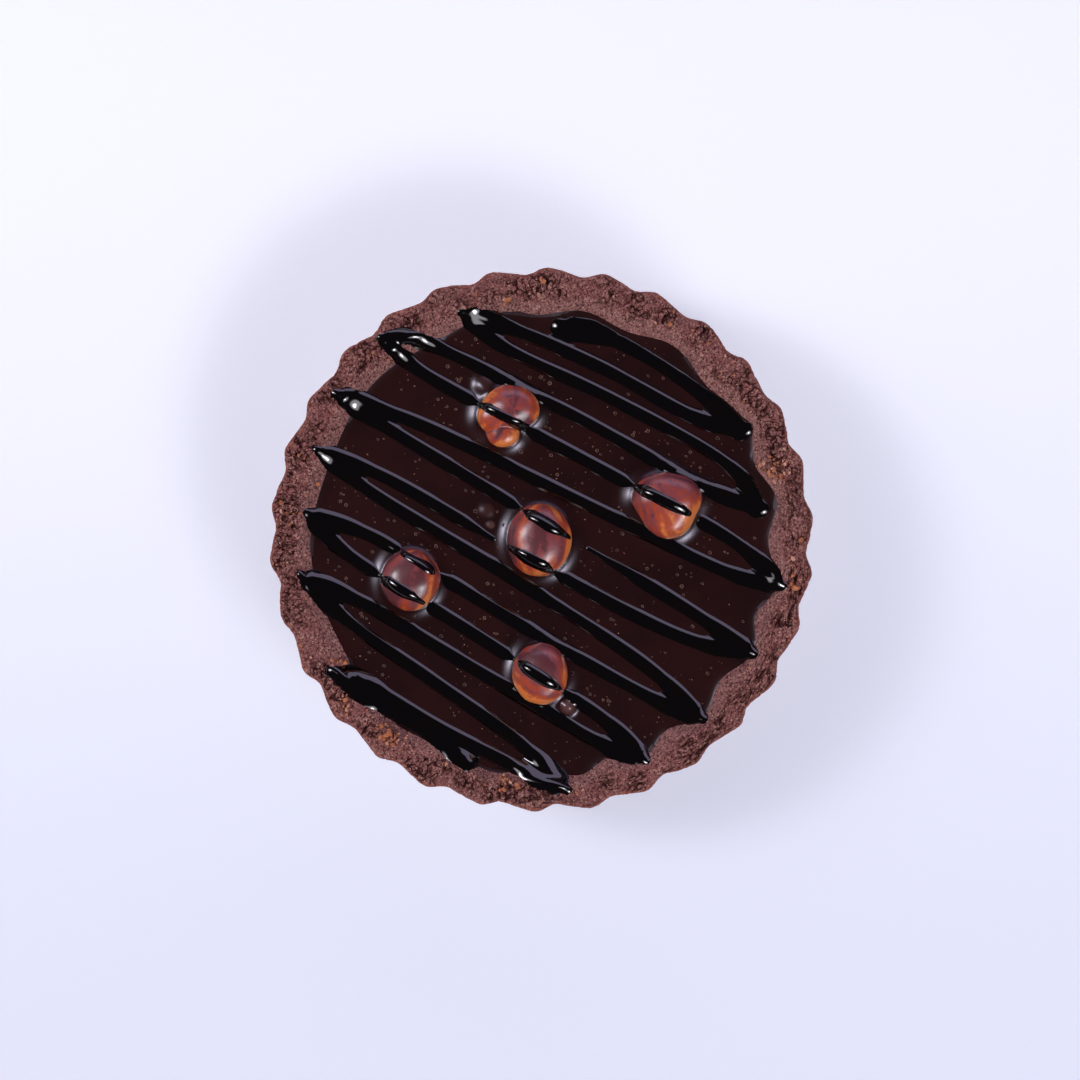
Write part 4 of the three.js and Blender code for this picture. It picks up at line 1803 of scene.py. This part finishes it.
@dataclass
class Crumbs:
    """Loose crumbs lying on the rim, one joined mesh of small uneven chips.

    A cluster is its middle x and y, its width, and how many crumbs it has. on_rim is the part of
    the rim's width that crumbs lie on, and stray_share that of the strays. squash is the least that
    a crumb is drawn out by along each axis, and how much more at most.
    """

    case: PastryCase
    clusters: tuple[tuple[float, float, float, int], ...] = (
        (43.6, 12.8, 3.2, 60), (-37.2, -22.4, 2.0, 22), (-37.3, -31.0, 1.8, 14),
        (-28.0, -36.6, 3.0, 60), (-7.3, -46.0, 2.4, 24), (47.8, -8.2, 1.8, 8),
        (-47.6, 4.5, 2.5, 8), (34.0, 31.5, 3.5, 6), (-6.5, 44.6, 1.0, 5),
    )
    strays: int = 90
    stray_share: Pair = (0.1, 0.8)
    on_rim: Pair = (0.08, 0.93)
    gap: float = 0.4
    least: float = 0.16
    spread: float = 0.32
    lift: float = 0.7
    roughness: float = 0.35
    squash: Pair = (0.75, 0.45)
    seed: int = 41

    @staticmethod
    def icosahedron() -> tuple[Array, Array]:
        """The plainest crumb: twelve corners, and a face for each three of them that are close.

        Returns:
            (12, 3) places at a distance of 1 and (20, 3) vertex numbers, facing outwards.
        """
        golden = (1 + math.sqrt(5)) / 2
        corner = np.array([(0, a, b * golden) for a in (-1, 1) for b in (-1, 1)], float)
        unit = np.concatenate([np.roll(corner, k, axis=1) for k in range(3)])
        unit /= math.hypot(1, golden)
        near = np.linalg.norm(unit[:, None] - unit[None], axis=-1) < 1.1
        faces = np.array([
            (i, j, k) for i in range(12) for j in range(i + 1, 12) for k in range(j + 1, 12)
            if near[i, j] and near[j, k] and near[i, k]
        ])
        a, b, c = (unit[faces[:, k]] for k in range(3))
        inward = (np.cross(b - a, c - a) * a).sum(1) < 0
        return unit, np.where(inward[:, None], faces[:, ::-1], faces)

    def build(self, clear: PlanField) -> Piece:
        """Scatters the crumbs: an icosahedron each, squashed and roughened.

        Args:
            clear: distance in mm from places in plan to the nearest glaze or nut.

        Returns:
            The object.
        """
        draw = np.random.default_rng(self.seed)
        spots = [
            np.array([cx, cy]) + draw.normal(size=(count, 2)) * width * 0.45
            for cx, cy, width, count in self.clusters
        ]
        turn = draw.random(self.strays) * TAU
        share = self.stray_share[0] + self.stray_share[1] * draw.random(self.strays)
        r = mix(self.case.contact(turn), self.case.edge(turn), share)
        spots = np.concatenate([*spots, polar(r, turn, 0)[:, :2]])
        spots = spots[clear(spots[:, 0], spots[:, 1]) > self.gap]
        share, bearing = self.case.share(spots[:, 0], spots[:, 1])
        lies = (share > self.on_rim[0]) & (share < self.on_rim[1])
        spots, z = spots[lies], self.case.rim_top(share[lies], bearing[lies])
        size = self.least + self.spread * draw.random(len(spots)) ** 1.5
        unit, faces = self.icosahedron()
        rough = draw.normal(size=(len(spots), len(unit), 1)).clip(-1, 1)
        low, more = self.squash
        squash = low + more * draw.random((len(spots), 1, 3))
        places, faces = scattered(
            np.stack([spots[:, 0], spots[:, 1], z + self.lift * size], axis=-1),
            unit[None] * (1 + self.roughness * rough) * squash * size[:, None, None],
            faces,
        )
        tone = np.repeat(draw.random(len(spots)), len(unit))
        return put_mesh(
            "rim_crumbs", places, faces, CrumbFinish().make(), smooth=False,
            marks={"tone": tone},
        )


# ----------------------------------------------------------------------------------------- stage


@dataclass(frozen=True)
class Softbox:
    """A flat lamp that faces the tart. Bearing and height angle are in degrees, sizes in metres.

    glow is the brightness of its face. Its light fades away from share fade of its width, measured
    from the middle, out to the rim, and the middle of a lamp with a core is core times brighter,
    out to the shares of its width that core_edge gives.
    """

    name: str
    bearing: float
    elevation: float
    distance: float
    size: Pair
    glow: float
    core: float = 0.0
    core_edge: Pair = (0.20, 0.15)
    fade: float = 0.3
    tint: Colour = (0.98, 0.95, 1.0)

    def shade(self, nodes: Tree) -> None:
        """Gives the lamp's face its bright core and soft rim.

        Args:
            nodes: the lamp's shader tree.
        """
        place = nodes.add("ShaderNodeNewGeometry").outputs["Parametric"]
        middle = {0: place, 1: (0.5, 0.5, 0.0)}
        centred = nodes.add("ShaderNodeVectorMath", middle, operation="SUBTRACT").outputs[0]
        length = nodes.add("ShaderNodeVectorMath", {0: centred}, operation="LENGTH")
        away = length.outputs["Value"]
        parts = nodes.ramp(away, 0.5, self.fade), nodes.ramp(away, *self.core_edge, 0.0, self.core)
        nodes.feed(nodes.tree.nodes["Emission"].inputs["Strength"], nodes.math("ADD", *parts))

    def build(self) -> None:
        """Adds the lamp, hidden from the camera."""
        data = bpy.data.lights.new(self.name, "AREA")
        data.shape = "RECTANGLE"
        data.size, data.size_y = self.size
        data.energy = self.glow * math.pi * self.size[0] * self.size[1]
        data.color = self.tint
        data.use_nodes = True
        self.shade(Tree(data.node_tree))
        lamp = put_object(self.name, data)
        b, e = math.radians(self.bearing), math.radians(self.elevation)
        way = math.cos(e) * math.cos(b), math.cos(e) * math.sin(b), math.sin(e)
        lamp.location = [self.distance * part for part in way]
        lamp.location.z += 0.02
        lamp.rotation_euler = (math.pi / 2 - e, 0.0, b + math.pi / 2)
        lamp.visible_camera = False


@dataclass
class Stage:
    """Plain pale floor, soft studio light, and a camera that looks straight down. In metres."""

    floor_half: float = 2.5
    # floor colours near and far: the far side is paler, painted light
    floor_near: Colour = (0.46, 0.475, 0.54)
    floor_far: Colour = (0.67, 0.685, 0.70)
    floor_glow: Colour = (0.76, 0.79, 0.98)
    surroundings: Colour = (0.85, 0.85, 1.0)
    wall: Colour = (0.86, 0.86, 0.95)
    view_width: float = 0.2029
    rim_level: float = 0.025
    lens: float = 100.0
    aim: Pair = (-0.00033, -0.00008)
    lamps: tuple[Softbox, ...] = (
        Softbox("left softbox", 166, 42, 1.3, (0.8, 1.2), 3.2, core=5.6),
        Softbox("near right softbox", -50, 41, 1.3, (1.2, 0.8), 3.0, core=5.6),
        Softbox("far wall", 76, 19, 1.4, (3.2, 0.75), 1.35, fade=0.42, tint=(0.78, 0.68, 1.0)),
    )

    def build(self) -> None:
        """Makes floor, lamps, surroundings and camera."""
        self.make_floor()
        for lamp in self.lamps:
            lamp.build()
        self.make_world()
        self.make_camera()

    def make_floor(self) -> None:
        """A flat pale lavender floor that glows faintly, paler on the far side with painted light.
        """
        h = self.floor_half
        mesh = bpy.data.meshes.new("floor")
        mesh.from_pydata([(-h, -h, 0), (h, -h, 0), (h, h, 0), (-h, h, 0)], [], [(0, 1, 2, 3)])
        n = Finish("pale floor")
        # painted light: paler towards the far side
        far = n.ramp(n.add("ShaderNodeSeparateXYZ", {0: n.place}).outputs["Y"], -0.11, 0.09)
        n.set(Base_Color=n.blend(far, self.floor_near, self.floor_far), Roughness=0.85)
        n.set(Specular_IOR_Level=0.1, Emission_Color=self.floor_glow, Emission_Strength=0.52)
        mesh.materials.append(n.material)
        put_object("floor", mesh)

    def make_world(self) -> None:
        """Dim surroundings, which only the camera sees as a pale wall."""
        world = bpy.data.worlds.new("studio")
        world.use_nodes = True
        bpy.context.scene.world = world
        n = Tree(world.node_tree)
        dim, out = n.tree.nodes["Background"], n.tree.nodes["World Output"]
        n.feed(dim.inputs["Color"], self.surroundings)
        n.feed(dim.inputs["Strength"], 0.03)
        pale = n.add("ShaderNodeBackground", {"Color": self.wall}).outputs[0]
        seen = n.add("ShaderNodeLightPath").outputs["Is Camera Ray"]
        choice = n.add("ShaderNodeMixShader", {0: seen, 1: dim.outputs[0], 2: pale})
        n.feed(out.inputs[0], choice.outputs[0])

    def make_camera(self) -> None:
        """The camera, over the middle of the tart."""
        data = bpy.data.cameras.new("camera")
        data.lens = self.lens
        data.sensor_width = 36.0
        data.clip_start, data.clip_end = 0.01, 20.0
        camera = put_object("camera", data)
        height = self.view_width * self.lens / data.sensor_width
        camera.location = (*self.aim, self.rim_level + height)
        bpy.context.scene.camera = camera
        bpy.context.scene.view_settings.view_transform = "Standard"


# ------------------------------------------------------------------------------------------ main


def main() -> None:
    """Builds the tart and its stage."""
    logging.basicConfig(level=logging.INFO, format="%(name)s: %(message)s")
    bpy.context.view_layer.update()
    case = PastryCase()
    case.build()
    filling = Filling(case)
    filling.build()
    nut_skin = NutFinish().make()
    for number, nut in enumerate(NUTS, start=1):
        Hazelnut(number, nut).build(nut_skin)
    glaze = GlazeLine(case, filling)
    glaze.build()
    Bubbles(filling).build(glaze.clear)
    Crumbs(case).build(glaze.clear)
    Stage().build()


if __name__ == "__main__":
    main()
